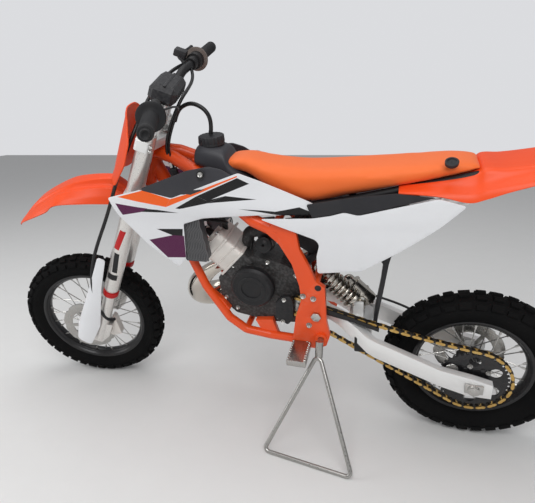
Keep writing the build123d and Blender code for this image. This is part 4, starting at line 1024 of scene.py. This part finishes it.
# Fenders and plates.
rearFenderShape = {
    "top": [(186, 664), (113, 679), (52, 695), (34, 706), (0, 706), (-51, 713), (-150, 732),
            (-200, 744), (-214, 748)],
    "edge": [(186, 662), (112, 657), (61, 647), (30, 656), (-5, 671), (-60, 689), (-150, 716),
             (-200, 732), (-213, 738)],
    "half": [80, 84, 87, 88, 88, 84, 72, 52, 20],
    "across": [(0, 0), (0.3, 0.01), (0.56, 0.04), (0.64, 0.10), (0.74, 0.42), (0.84, 0.60),
               (0.93, 0.74), (1, 1)],
}
frontFenderShape = {
    "top": [(-30, 467), (40, 467.5), (60, 474), (90, 478), (153, 449), (200, 415), (262, 348),
            (293, 286), (306, 257)],
    "edge": [(-28, 456), (30, 438), (56, 428), (80, 420), (141, 406), (200, 388), (222, 356),
             (284, 290), (300, 257)],
    "half": [44, 46, 47, 48, 66, 84, 80, 56, 28],
    "across": [(0, 0), (0.26, 0.01), (0.34, 0.04), (0.40, 0.26), (0.52, 0.34), (0.62, 0.34),
               (0.68, 0.44), (0.86, 0.70), (1, 1)],
}


def fenderSkin(name, shape, thickness):
    def place(u, v):
        topX, topZ = along(shape["top"], u)
        edgeX, edgeZ = along(shape["edge"], u)
        half = along([(value,) for value in shape["half"]], u)[0]
        side = 2 * v - 1
        drop = -atX([(-share, -fall) for share, fall in shape["across"]], -abs(side))
        return (topX + (edgeX - topX) * drop, side * half, topZ + (edgeZ - topZ) * drop)

    skin = shapedGrid(name, 66, 57, place)
    faceToward(skin, 2)
    modify(skin, "SOLIDIFY", thickness=thickness, offset=-1)
    soften(skin, 0.8, angle=60)
    return skin


setDown(fenderSkin("rearFender", rearFenderShape, 3.0), bikeFrame, "chassis",
        "orange_plastic", orangePlastic, ["rear_fender"], angle=45)
setDown(fenderSkin("frontFender", frontFenderShape, 3.0), forkFrame, "steering",
        "orange_plastic", orangePlastic, ["front_fender"], angle=45)

frontPanels = {
    "outline": [(-70, 488), (-92, 560), (-90, 622), (-44, 668), (44, 668), (90, 622), (92, 560),
                (70, 488)],
    "guard": [(40, 292), (62, 292), (66, 200), (78, 40), (70, -14), (26, -18), (14, 60),
              (34, 200)],
}


def plateDepth(x, z):
    rim = 1.5 if abs(x) > 74 or z > 656 or z < 504 else 0.0
    return 84.5 - 39.0 * (x / 92) ** 2 + rim


plate = outlined("numberPlate", frontPanels["outline"], plateDepth, 3.0, corner=12, step=8)
plate.data.transform(Matrix.Rotation(-math.pi / 2, 4, "Z"))
setDown(plate, forkFrame, "steering", "orange_plastic", orangePlastic, ["number_plate"])


def guardDepth(x, z):
    return 104.5 - 9.0 * max(0, (x - 46) / 30) ** 2 - 5.0 * max(0, (40 - x) / 26) ** 2


guard = outlined("forkGuards", frontPanels["guard"], guardDepth, 3.0, corner=6, step=8)
mirrored(guard)
setDown(guard, forkFrame, "steering", "white_plastic", whitePlastic, ["fork_guards"])
print("fenders and plates made")

# Exhaust and shock.
pipeRoute = [
    (596.0, 0, 431.0, 16), (622, -3, 412, 17), (652, -12, 388, 21), (694, -28, 340, 29),
    (706, -58, 286, 33), (662, -98, 268, 35), (606, -114, 284, 36), (540, -122, 310, 37),
    (470, -124, 340, 34), (392, -122, 398, 26), (322, -122, 450, 17), (250, -124, 500, 12.5),
]
pipe = hose("exhaustPipe", [point[:3] for point in pipeRoute], 30,
            [point[3] for point in pipeRoute], sides=10)
setDown(pipe, bikeFrame, "chassis", "chrome", pipeChrome, ["exhaust_pipe"], angle=60)

shockEnds = {"low": Vector((259, 0, 336)), "high": Vector((352, 0, 430)), "coils": 6,
             "coilRadius": 22.5, "wire": 4.2, "reservoir": (233, -30, 331), "lean": 0.78}


def makeShock():
    low, high = shockEnds["low"], shockEnds["high"]
    run = (high - low).normalized()
    aside = Vector((0, 1, 0))
    upward = run.cross(aside)
    length = (high - low).length
    turns = []
    count = shockEnds["coils"] * 12
    for index in range(count + 1):
        angle = 2 * math.pi * index / 12
        reach = 26 + (length - 56) * index / count
        turns.append(low + run * reach + (aside * math.cos(angle) + upward * math.sin(angle))
                     * shockEnds["coilRadius"])
    coil = hose("shockCoil", turns, shockEnds["wire"], sides=3)
    setDown(coil, bikeFrame, "chassis", "steel", nickelCoat, angle=60)
    body = [disc("damper", low + run * length * 0.62, run, 18.5, length * 0.5, 32),
            disc("rod", low + run * length * 0.3, run, 6.5, length * 0.55, 20),
            disc("seat", low + run * 24, run, 26, 5, 32),
            disc("collar", high - run * 28, run, 26, 6, 32),
            disc("lowEye", low, (0, 1, 0), 15, 14, 32),
            disc("highEye", high, (0, 1, 0), 15, 14, 32)]
    for part in body:
        soften(part, 0.8)
    setDown(joined("shockBody", *body), bikeFrame, "chassis", "aluminium", nickelCoat,
            ["shock_absorber"])
    canister = lathe("shockCanister", [(0, 8), (1, 15), (7, 20), (30, 21), (31, 22.4), (34, 22.4),
                                       (35, 21), (62, 21), (63, 23), (67, 23), (68, 16), (84, 14),
                                       (84, 2), (0, 2), (0, 8)], 40)
    canister.data.transform(Matrix.Translation(shockEnds["reservoir"])
                            @ Matrix.Rotation(shockEnds["lean"], 4, "Y")
                            @ Matrix.Rotation(math.pi / 2, 4, "X"))
    setDown(canister, bikeFrame, "chassis", "steel", nickelCoat)


makeShock()
print("exhaust and shock made")

# Handlebar: grips, pad, lever.
barEnd = {side: Vector((-30, side * 349, 770)) for side in (1, -1)}
barRun = {side: Vector((-32, side * 217, 26.6)).normalized() for side in (1, -1)}
gripSize = {"length": 112.0, "radius": 15.0, "flange": 29.0, "ribs": 15}


def makeGrip(side):
    flange, radius = gripSize["flange"], gripSize["radius"]
    profile = [(0, 11.4), (0, flange - 5), (1, flange - 1), (3, flange), (5.5, flange - 0.6),
               (7, flange - 4), (8.5, 17)]
    step = (gripSize["length"] - 22) / gripSize["ribs"]
    for index in range(gripSize["ribs"]):
        start = 12 + index * step
        profile += [(start, radius - 0.8), (start + step * 0.35, radius),
                    (start + step * 0.8, radius)]
    profile += [(104, radius - 0.6), (107, radius), (112, radius), (115, radius - 1.4),
                (115.6, 10), (115.7, 0.5), (113, 0.4), (112.5, 11.4), (0, 11.4)]
    grip = lathe("grip", profile, 36)
    turn = Vector((0, 1, 0)).rotation_difference(barRun[side]).to_matrix().to_4x4()
    start = barEnd[side] - barRun[side] * gripSize["length"]
    grip.data.transform(Matrix.Translation(start) @ turn)
    return grip


setDown(joined("grips", makeGrip(1), makeGrip(-1)), forkFrame, "steering", "rubber", gripRubber,
        ["grips"], angle=45)


def makePad():
    pad = block("barPad", (-25, -62, 716), (37, 62, 756), 10, segments=1)
    ribs = [block("rib", (-14, -50, 754), (26, 50, 757), 2.5, segments=1),
            block("rib", (2, -56, 755.5), (9, 56, 758), 1.0)]
    for index in range(7):
        y = -42 + index * 14
        ribs.append(block("rib", (-26.5, y - 4, 726), (-22, y + 4, 746), 1.2))
    return joined("barPad", pad, *ribs)


setDown(makePad(), forkFrame, "steering", "black_plastic", blackPlastic, ["bar_pad"])


def nearGrip(side, inboard, ahead=0.0, above=0.0):
    return barEnd[side] - barRun[side] * inboard + Vector((ahead, 0, above))


lever = hose("brakeLever", [nearGrip(-1, 140, 22, -4), nearGrip(-1, 118, 46, -10),
                            nearGrip(-1, 80, 56, -14), nearGrip(-1, 30, 52, -16),
                            nearGrip(-1, 8, 50, -14)], 5, [6.5, 6, 5, 4.5, 6])
perch = hose("leverPerch", [nearGrip(-1, 150, 6, -2), nearGrip(-1, 146, 24, -4),
                            nearGrip(-1, 128, 30, -6)], 8, [10, 9, 8])
gripFlange = disc("gripFlange", nearGrip(-1, 114), barRun[-1], 31.0, 3.0, 48)
soften(gripFlange, 0.8)
setDown(gripFlange, forkFrame, "steering", "black_plastic", smokedPlastic)
setDown(joined("brakeLever", lever, perch), forkFrame, "steering", "black_metal", blackCoat)
reservoir = block("reservoir", (-16, -16, -9), (16, 16, 9), 3)
reservoir.data.transform(Matrix.Translation(nearGrip(-1, 152, 34, 16)))
setDown(reservoir, forkFrame, "steering", "black_plastic", blackPlastic)
stemCap = lathe("stemCap", [(639, 24), (646, 24), (650, 20), (651, 11), (651, 9.2), (640, 9.2),
                            (639, 24)], 32)
stemCap.data.transform(Matrix.Rotation(math.pi / 2, 4, "X"))
faceOut(stemCap)
setDown(stemCap, forkFrame, "steering", "steel", boltSteel)
print("handlebar dressed")

# Fork details.
forkSize = {"ahead": 11.5, "left": 75.0, "top": 650, "ringZ": 174, "ringRadius": 21.6,
            "ringHeight": 16}
rings = []
for side in (-1, 1):
    ring = disc("ring", (forkSize["ahead"], side * forkSize["left"], forkSize["ringZ"]),
                (0, 0, 1), forkSize["ringRadius"], forkSize["ringHeight"], 40)
    soften(ring, 2.0)
    rings.append(ring)
setDown(joined("forkRings", *rings), forkFrame, "steering", "rubber", redCoat)
caps = []
for side in (-1, 1):
    foot = Vector((forkSize["ahead"], side * forkSize["left"], forkSize["top"]))
    cap = disc("cap", foot + Vector((0, 0, 2)), (0, 0, 1), 17, 4, 40)
    nut = disc("nut", foot + Vector((0, 0, 6)), (0, 0, 1), 10, 6, 6)
    screw = disc("screw", foot + Vector((0, 0, 10)), (0, 0, 1), 4, 4, 20)
    for part in (cap, nut, screw):
        soften(part, 0.6)
    caps += [cap, nut, screw]
setDown(joined("forkCaps", *caps), forkFrame, "steering", "aluminium", satinAlloy)
pinch = []
for low, wall in ((468, 28), (615, 24)):
    for side in (-1, 1):
        for share in (0.28, 0.72):
            pinch.append((-3, side * 101, low + wall * share))
clampBolts = bolts("clampBolts", pinch, (-1, 0, 0), 4.0, 5.0)
setDown(clampBolts, forkFrame, "steering", "steel", boltSteel)
barBolts = bolts("barBolts", [(bx, side * by, 715.6) for bx in (-5, 17) for side in (-1, 1)
                              for by in (25, 39)], (0, 0, 1), 3.2, 2.5)
setDown(barBolts, forkFrame, "steering", "steel", boltSteel)

# Stripes round the fork: from, to, first and last angle in degrees, slant in radians.
decals = {"columns": 24, "outer": 21.5, "inner": 20.6,
          "red": [(332, 392, 52, 96, 0.35)],
          "black": [(232, 250, 40, 120, 0.0), (258, 320, 66, 104, -0.25)]}


def makeDecal(low, high, first, last, slant):
    half = decals["columns"] // 2

    def place(u, v):
        index = round(u * decals["columns"]) % decals["columns"]
        share = index / (half - 1) if index < half else (2 * half - 1 - index) / (half - 1)
        reach = decals["outer"] if index < half else decals["inner"]
        turn = math.radians(first + (last - first) * share) + slant * (v - 0.5)
        return (forkSize["ahead"] + reach * math.cos(turn),
                forkSize["left"] + reach * math.sin(turn), low + (high - low) * v)

    return shapedGrid("decal", decals["columns"], 12, place)


for shade, coat in (("red", redCoat), ("black", blackCoat)):
    decalSet = joined(shade + "Decals", *[makeDecal(*shape) for shape in decals[shade]])
    mirrored(decalSet)
    setDown(decalSet, forkFrame, "steering", "rubber", coat)
print("fork dressed")

# Hoses and cables, kept in one list: name, frame, body, radius, points.
hoses = [
    ("frontBrakeHose", forkFrame, "steering", 4.6, [
        (-6, -214, 752), (18, -190, 742), (42, -120, 716), (50, -40, 690), (50, 30, 640),
        (54, 58, 590), (60, 62, 535), (64, 61, 470), (66, 68, 400), (72, 86, 320), (73, 92, 266),
        (66, 98, 210), (44, 100, 140), (14, 94, 96), (-8, 84, 76), (-14, 62, 66)]),
    ("throttleCable", forkFrame, "steering", 4.0, [
        (-4, -200, 748), (-22, -150, 746), (-34, -90, 744), (-36, -20, 742), (-34, 28, 736),
        (-29, 40, 700), (-26, 40, 658), (-30, 40, 618), (-44, 40, 592), (-60, 40, 570)]),
    ("switchWire", forkFrame, "steering", 2.2, [
        (-8, 216, 752), (-20, 160, 746), (-36, 90, 738), (-38, 52, 716), (-33, 46, 680),
        (-34, 46, 630), (-48, 46, 596), (-62, 44, 574)]),
    ("breatherHose", bikeFrame, "chassis", 4.8, [
        (597, 0, 764), (592, 0, 790), (603, 0, 818), (634, -4, 834), (664, -12, 826),
        (684, -20, 808), (694, -26, 788)]),
    ("coolantHose", bikeFrame, "chassis", 8.0, [
        (622, 52, 628), (596, 40, 600), (580, 20, 560), (584, 0, 524), (590, 0, 508)]),
    ("lowerHose", bikeFrame, "chassis", 8.0, [
        (640, 66, 492), (628, 40, 476), (616, 6, 452), (600, -20, 430)]),
    ("fuelHose", bikeFrame, "chassis", 3.2, [
        (520, 40, 600), (516, 46, 576), (500, 40, 556), (486, 24, 548)]),
    ("sparkLead", bikeFrame, "chassis", 3.6, [
        (640, 0, 524), (650, 14, 540), (636, 34, 560), (600, 44, 570), (560, 46, 562)]),
    ("rearBrakeHose", bikeFrame, "chassis", 3.0, [
        (46, -54, 246), (120, -80, 280), (220, -86, 312), (320, -84, 330), (380, -86, 300),
        (398, -84, 262)]),
]
for name, where, body, radius, points in hoses:
    setDown(hose(name, points, radius), where, body, "rubber", hoseRubber, angle=60)
tag = hose("wireTag", [(-49, 40, 586), (-56, 40, 576)], 6.2)
setDown(tag, forkFrame, "steering", "white_plastic", tagPlastic)
plug = block("wirePlug", (-9, -7, -11), (9, 7, 11), 2)
plug.data.transform(Matrix.Translation((-64, 42, 564)) @ Matrix.Rotation(0.6, 4, "Y"))
setDown(plug, forkFrame, "steering", "black_plastic", blackPlastic)
print("hoses made")

# Engine details.
engine = {"crank": Vector((505, 0, 403)), "tilt": math.radians(42)}
cylinderUp = Vector((math.cos(engine["tilt"]), 0, math.sin(engine["tilt"])))
cylinderAhead = Vector((cylinderUp.z, 0, -cylinderUp.x))


def onCylinder(distance, ahead, left):
    return engine["crank"] + cylinderUp * distance + cylinderAhead * ahead + Vector((0, left, 0))


def cylinderBlock(name, low, high, ahead, left, edge=2.0):
    piece = block(name, (low, -left, -ahead), (high, left, ahead), edge)
    turn = Matrix((cylinderUp, Vector((0, 1, 0)), -cylinderAhead)).transposed().to_4x4()
    piece.data.transform(Matrix.Translation(engine["crank"]) @ turn)
    return piece


flanges = [cylinderBlock("flange", low, high, ahead, left, 1.6) for low, high, ahead, left in (
    (70, 76, 45, 49), (96, 100, 43, 48), (121, 127, 45, 49), (144, 149, 41, 46))]
setDown(joined("cylinderFlanges", *flanges), bikeFrame, "chassis", "cast_aluminium", castAlloy)
headBolts = bolts("headBolts", [onCylinder(149, ahead, left) for ahead in (-32, 0, 32)
                                for left in (-36, 36)], cylinderUp, 4.5, 5)
setDown(headBolts, bikeFrame, "chassis", "steel", boltSteel)
plugCap = hose("plugCap", [onCylinder(158, 0, 0), onCylinder(172, 0, 0), onCylinder(182, 2, 4),
                           onCylinder(186, 4, 16)], 9, [11, 10, 8, 6])
setDown(plugCap, bikeFrame, "chassis", "rubber", hoseRubber, angle=60)
stepped = lathe("ignitionRings", [(78, 30), (78, 47), (79.4, 47), (79.4, 44), (78.6, 43),
                                  (78.6, 34), (80.2, 33), (80.2, 26), (78, 26), (78, 30)], 56)
stepped.data.transform(Matrix.Translation(engine["crank"]))
setDown(stepped, bikeFrame, "chassis", "black_metal", blackCoat)
caseBolts = [(452, 44.5, 306), (556, 44.5, 322), (584, 44.5, 352), (396, 44.5, 300),
             (404, 44.5, 430), (470, 44.5, 462), (556, 44.5, 446)]
coverBolts = [(430, 82.5, 322), (425, 82.5, 384)]
plateBolts = [(380, 81, 399), (356, 81, 394), (367, 81, 318), (372, 81, 262)]
engineBolts = bolts("engineBolts", caseBolts + coverBolts, (0, 1, 0), 4.2, 4)
setDown(engineBolts, bikeFrame, "chassis", "steel", boltSteel)
frameBolts = bolts("frameBolts", plateBolts, (0, 1, 0), 5.5, 5)
mirrored(frameBolts)
setDown(frameBolts, bikeFrame, "chassis", "steel", boltSteel)
coverBolt = bolts("coverBolt", [(592, 104.5, 702)], (0, 1, 0.3), 5.0, 3)
mirrored(coverBolt)
setDown(coverBolt, bikeFrame, "chassis", "steel", boltSteel)
coverWasher = disc("coverWasher", (592, 103.5, 702), (0, 1, 0.3), 9.5, 2.4, 32)
soften(coverWasher, 0.8)
mirrored(coverWasher)
setDown(coverWasher, bikeFrame, "chassis", "rubber", hoseRubber)
# A thin black disc on each engine plate stands in for its hole: painted shade of the hole's depth
plateHolePaintedShade = disc("plateHolePaintedShade", (345, 80.6, 424), (0, 1, 0), 7.5, 1.2, 32)
soften(plateHolePaintedShade, 0.3)
mirrored(plateHolePaintedShade)
setDown(plateHolePaintedShade, bikeFrame, "chassis", "black_metal", blackCoat)
headGusset = outlined("headGusset", [(652, 706), (640, 700), (596, 676), (600, 652), (640, 648),
                                     (652, 646)], lambda x, z: 2.0, 4.0, corner=4)
setDown(headGusset, bikeFrame, "chassis", "orange_paint", orangePaint)
primerCap = lathe("primerCap", [(40, 2), (40, 19), (42, 20.5), (56, 20.5), (59, 18), (60, 12),
                                (61.5, 11), (61.5, 2), (40, 2)], 40)
primerCap.data.transform(Matrix.Translation((478, -12, 490)) @ Matrix.Rotation(0.3, 4, "X"))
setDown(primerCap, bikeFrame, "chassis", "rubber", hoseRubber)
print("engine dressed")

# Wheels' bolts.
sprocketBolts = bolts("sprocketBolts", [
    (math.cos(turn) * 40, 60.5, math.sin(turn) * 40)
    for turn in [math.pi / 3 * index + 0.3 for index in range(6)]], (0, 1, 0), 4.5, 4)
setDown(sprocketBolts, rearFrame, "rear_wheel", "steel", boltSteel)
for label, where, body, y, side in (("rear", rearFrame, "rear_wheel", -53.6, -1),
                                    ("front", frontFrame, "front_wheel", 51.6, 1)):
    discBolts = bolts(label + "DiscBolts", [
        (math.cos(turn) * 24, y, math.sin(turn) * 24)
        for turn in [math.pi / 2 * index + 0.4 for index in range(4)]], (0, side, 0), 3.6, 3)
    setDown(discBolts, where, body, "steel", boltSteel)

# Radiators' louvres.
louvre = {"slats": 13, "low": 484.0, "high": 636.0, "rake": -22.0 / 160.0, "front": 672.0,
          "rear": 618.0, "section": [(-1, 0), (-0.6, 1), (0.6, 1), (1, 0)]}


def makeSlat(x):
    def place(u, v):
        z = louvre["low"] + (louvre["high"] - louvre["low"]) * v
        wave = 1.1 * math.sin(z / 4.5)
        side, out = louvre["section"][min(int(u * 4), 3)]
        return (x + (640 - z) * louvre["rake"] + wave + side * 1.3, 96.2 + 3.2 * out, z)

    return shapedGrid("slat", 4, 60, place)


slats = []
for index in range(louvre["slats"]):
    share = (index + 0.5) / louvre["slats"]
    slats.append(makeSlat(louvre["rear"] + (louvre["front"] - louvre["rear"]) * share))
slatSet = joined("radiatorSlats", *slats)
mirrored(slatSet)
setDown(slatSet, bikeFrame, "chassis", "black_plastic", louvreGrey)

# Footpeg teeth.
teeth = []
for rail in (365, 404):
    for index in range(9):
        y = 88 + index * 8.4
        teeth.append(block("tooth", (rail - 2, y - 2.2, 267), (rail + 2.5, y + 2.2, 272), 0.8, 1))
pegTeeth = joined("footpegTeeth", *teeth)
mirrored(pegTeeth)
setDown(pegTeeth, bikeFrame, "chassis", "steel", plainSteel)

# Swingarm's slider and blocks.
slider = [
    outlined("slider", [(336, 361), (267, 340), (208, 319), (208, 309), (267, 329), (336, 344)],
             lambda x, z: 66.0, 16.0, corner=2, step=20),
    block("slider", (214, 66, 250), (262, 74, 292), 3),
]
setDown(joined("chainSlider", *slider), bikeFrame, "chassis", "rubber", hoseRubber)
axleBlock = block("axleBlock", (-20, 89, 188), (18, 93, 212), 1.5)
axleNut = disc("axleNut", (0, 97, 200), (0, 1, 0), 13, 8, 6)
soften(axleNut, 0.8)
axleSet = joined("axleBlocks", axleBlock, axleNut)
mirrored(axleSet)
setDown(axleSet, bikeFrame, "chassis", "steel", boltSteel)
print("small parts made")

# Floor, light and camera.
bpy.ops.mesh.primitive_plane_add(size=14, location=(0, 0, 0))
floor = addedAs("studioFloor")
floorFinish = finish("floorFinish", (0.80, 0.80, 0.79), (0.77, 0.77, 0.76), (0.55, 0.7),
                     grainScale=60, bump=0.02, dustAmount=0.0)
floor.data.materials.append(floorFinish)
bpy.context.scene.view_settings.view_transform = "Standard"
world = bpy.data.worlds.new("studioWorld")
bpy.context.scene.world = world
world.use_nodes = True
background = world.node_tree.nodes["Background"]
background.inputs["Color"].default_value = (0.96, 0.97, 1.0, 1)
seen = wire(world.node_tree, "ShaderNodeLightPath").outputs["Is Camera Ray"]
brightness = wire(world.node_tree, "ShaderNodeMapRange", {
    "Value": seen, "To Min": 0.36, "To Max": 0.74})
world.node_tree.links.new(brightness.outputs[0], background.inputs["Strength"])


def softbox(name, place, target, size, power):
    bpy.ops.object.light_add(type="AREA", location=place)
    light = bpy.context.object
    light.name = name
    light.data.shape = "RECTANGLE"
    light.data.size, light.data.size_y = size
    light.data.energy = power
    light.rotation_euler = (Vector(target) - Vector(place)).to_track_quat("-Z", "Y").to_euler()


softbox("keySoftbox", (-0.6, 2.4, 2.6), (0, 0, 0.4), (2.4, 1.4), 55)
softbox("topSoftbox", (0.4, -0.2, 3.2), (0, 0, 0.3), (2.6, 2.6), 31)
softbox("frontSoftbox", (2.8, 1.0, 1.4), (0, 0, 0.4), (1.4, 1.6), 20)

cameraView = {"place": (-0.3328, 1.0944, 0.8106), "yaw": 0.3694, "pitch": 0.2842,
              "roll": -0.0366, "lens": 34.137, "shift": (0.110, 0.0031)}


def addCamera():
    yaw, pitch, roll = cameraView["yaw"], cameraView["pitch"], cameraView["roll"]
    ahead = Vector((math.sin(yaw) * math.cos(pitch), -math.cos(yaw) * math.cos(pitch),
                    -math.sin(pitch)))
    level = ahead.cross(Vector((0, 0, 1))).normalized()
    above = level.cross(ahead)
    right = level * math.cos(roll) + above * math.sin(roll)
    upward = above * math.cos(roll) - level * math.sin(roll)
    bpy.ops.object.camera_add(location=cameraView["place"])
    camera = bpy.context.object
    turn = Matrix((right, upward, -ahead)).transposed()
    camera.rotation_euler = turn.to_euler()
    camera.data.sensor_width = 36
    camera.data.lens = cameraView["lens"]
    camera.data.shift_x, camera.data.shift_y = cameraView["shift"]
    camera.data.clip_start = 0.05
    bpy.context.scene.camera = camera


addCamera()
print("floor, light and camera set")
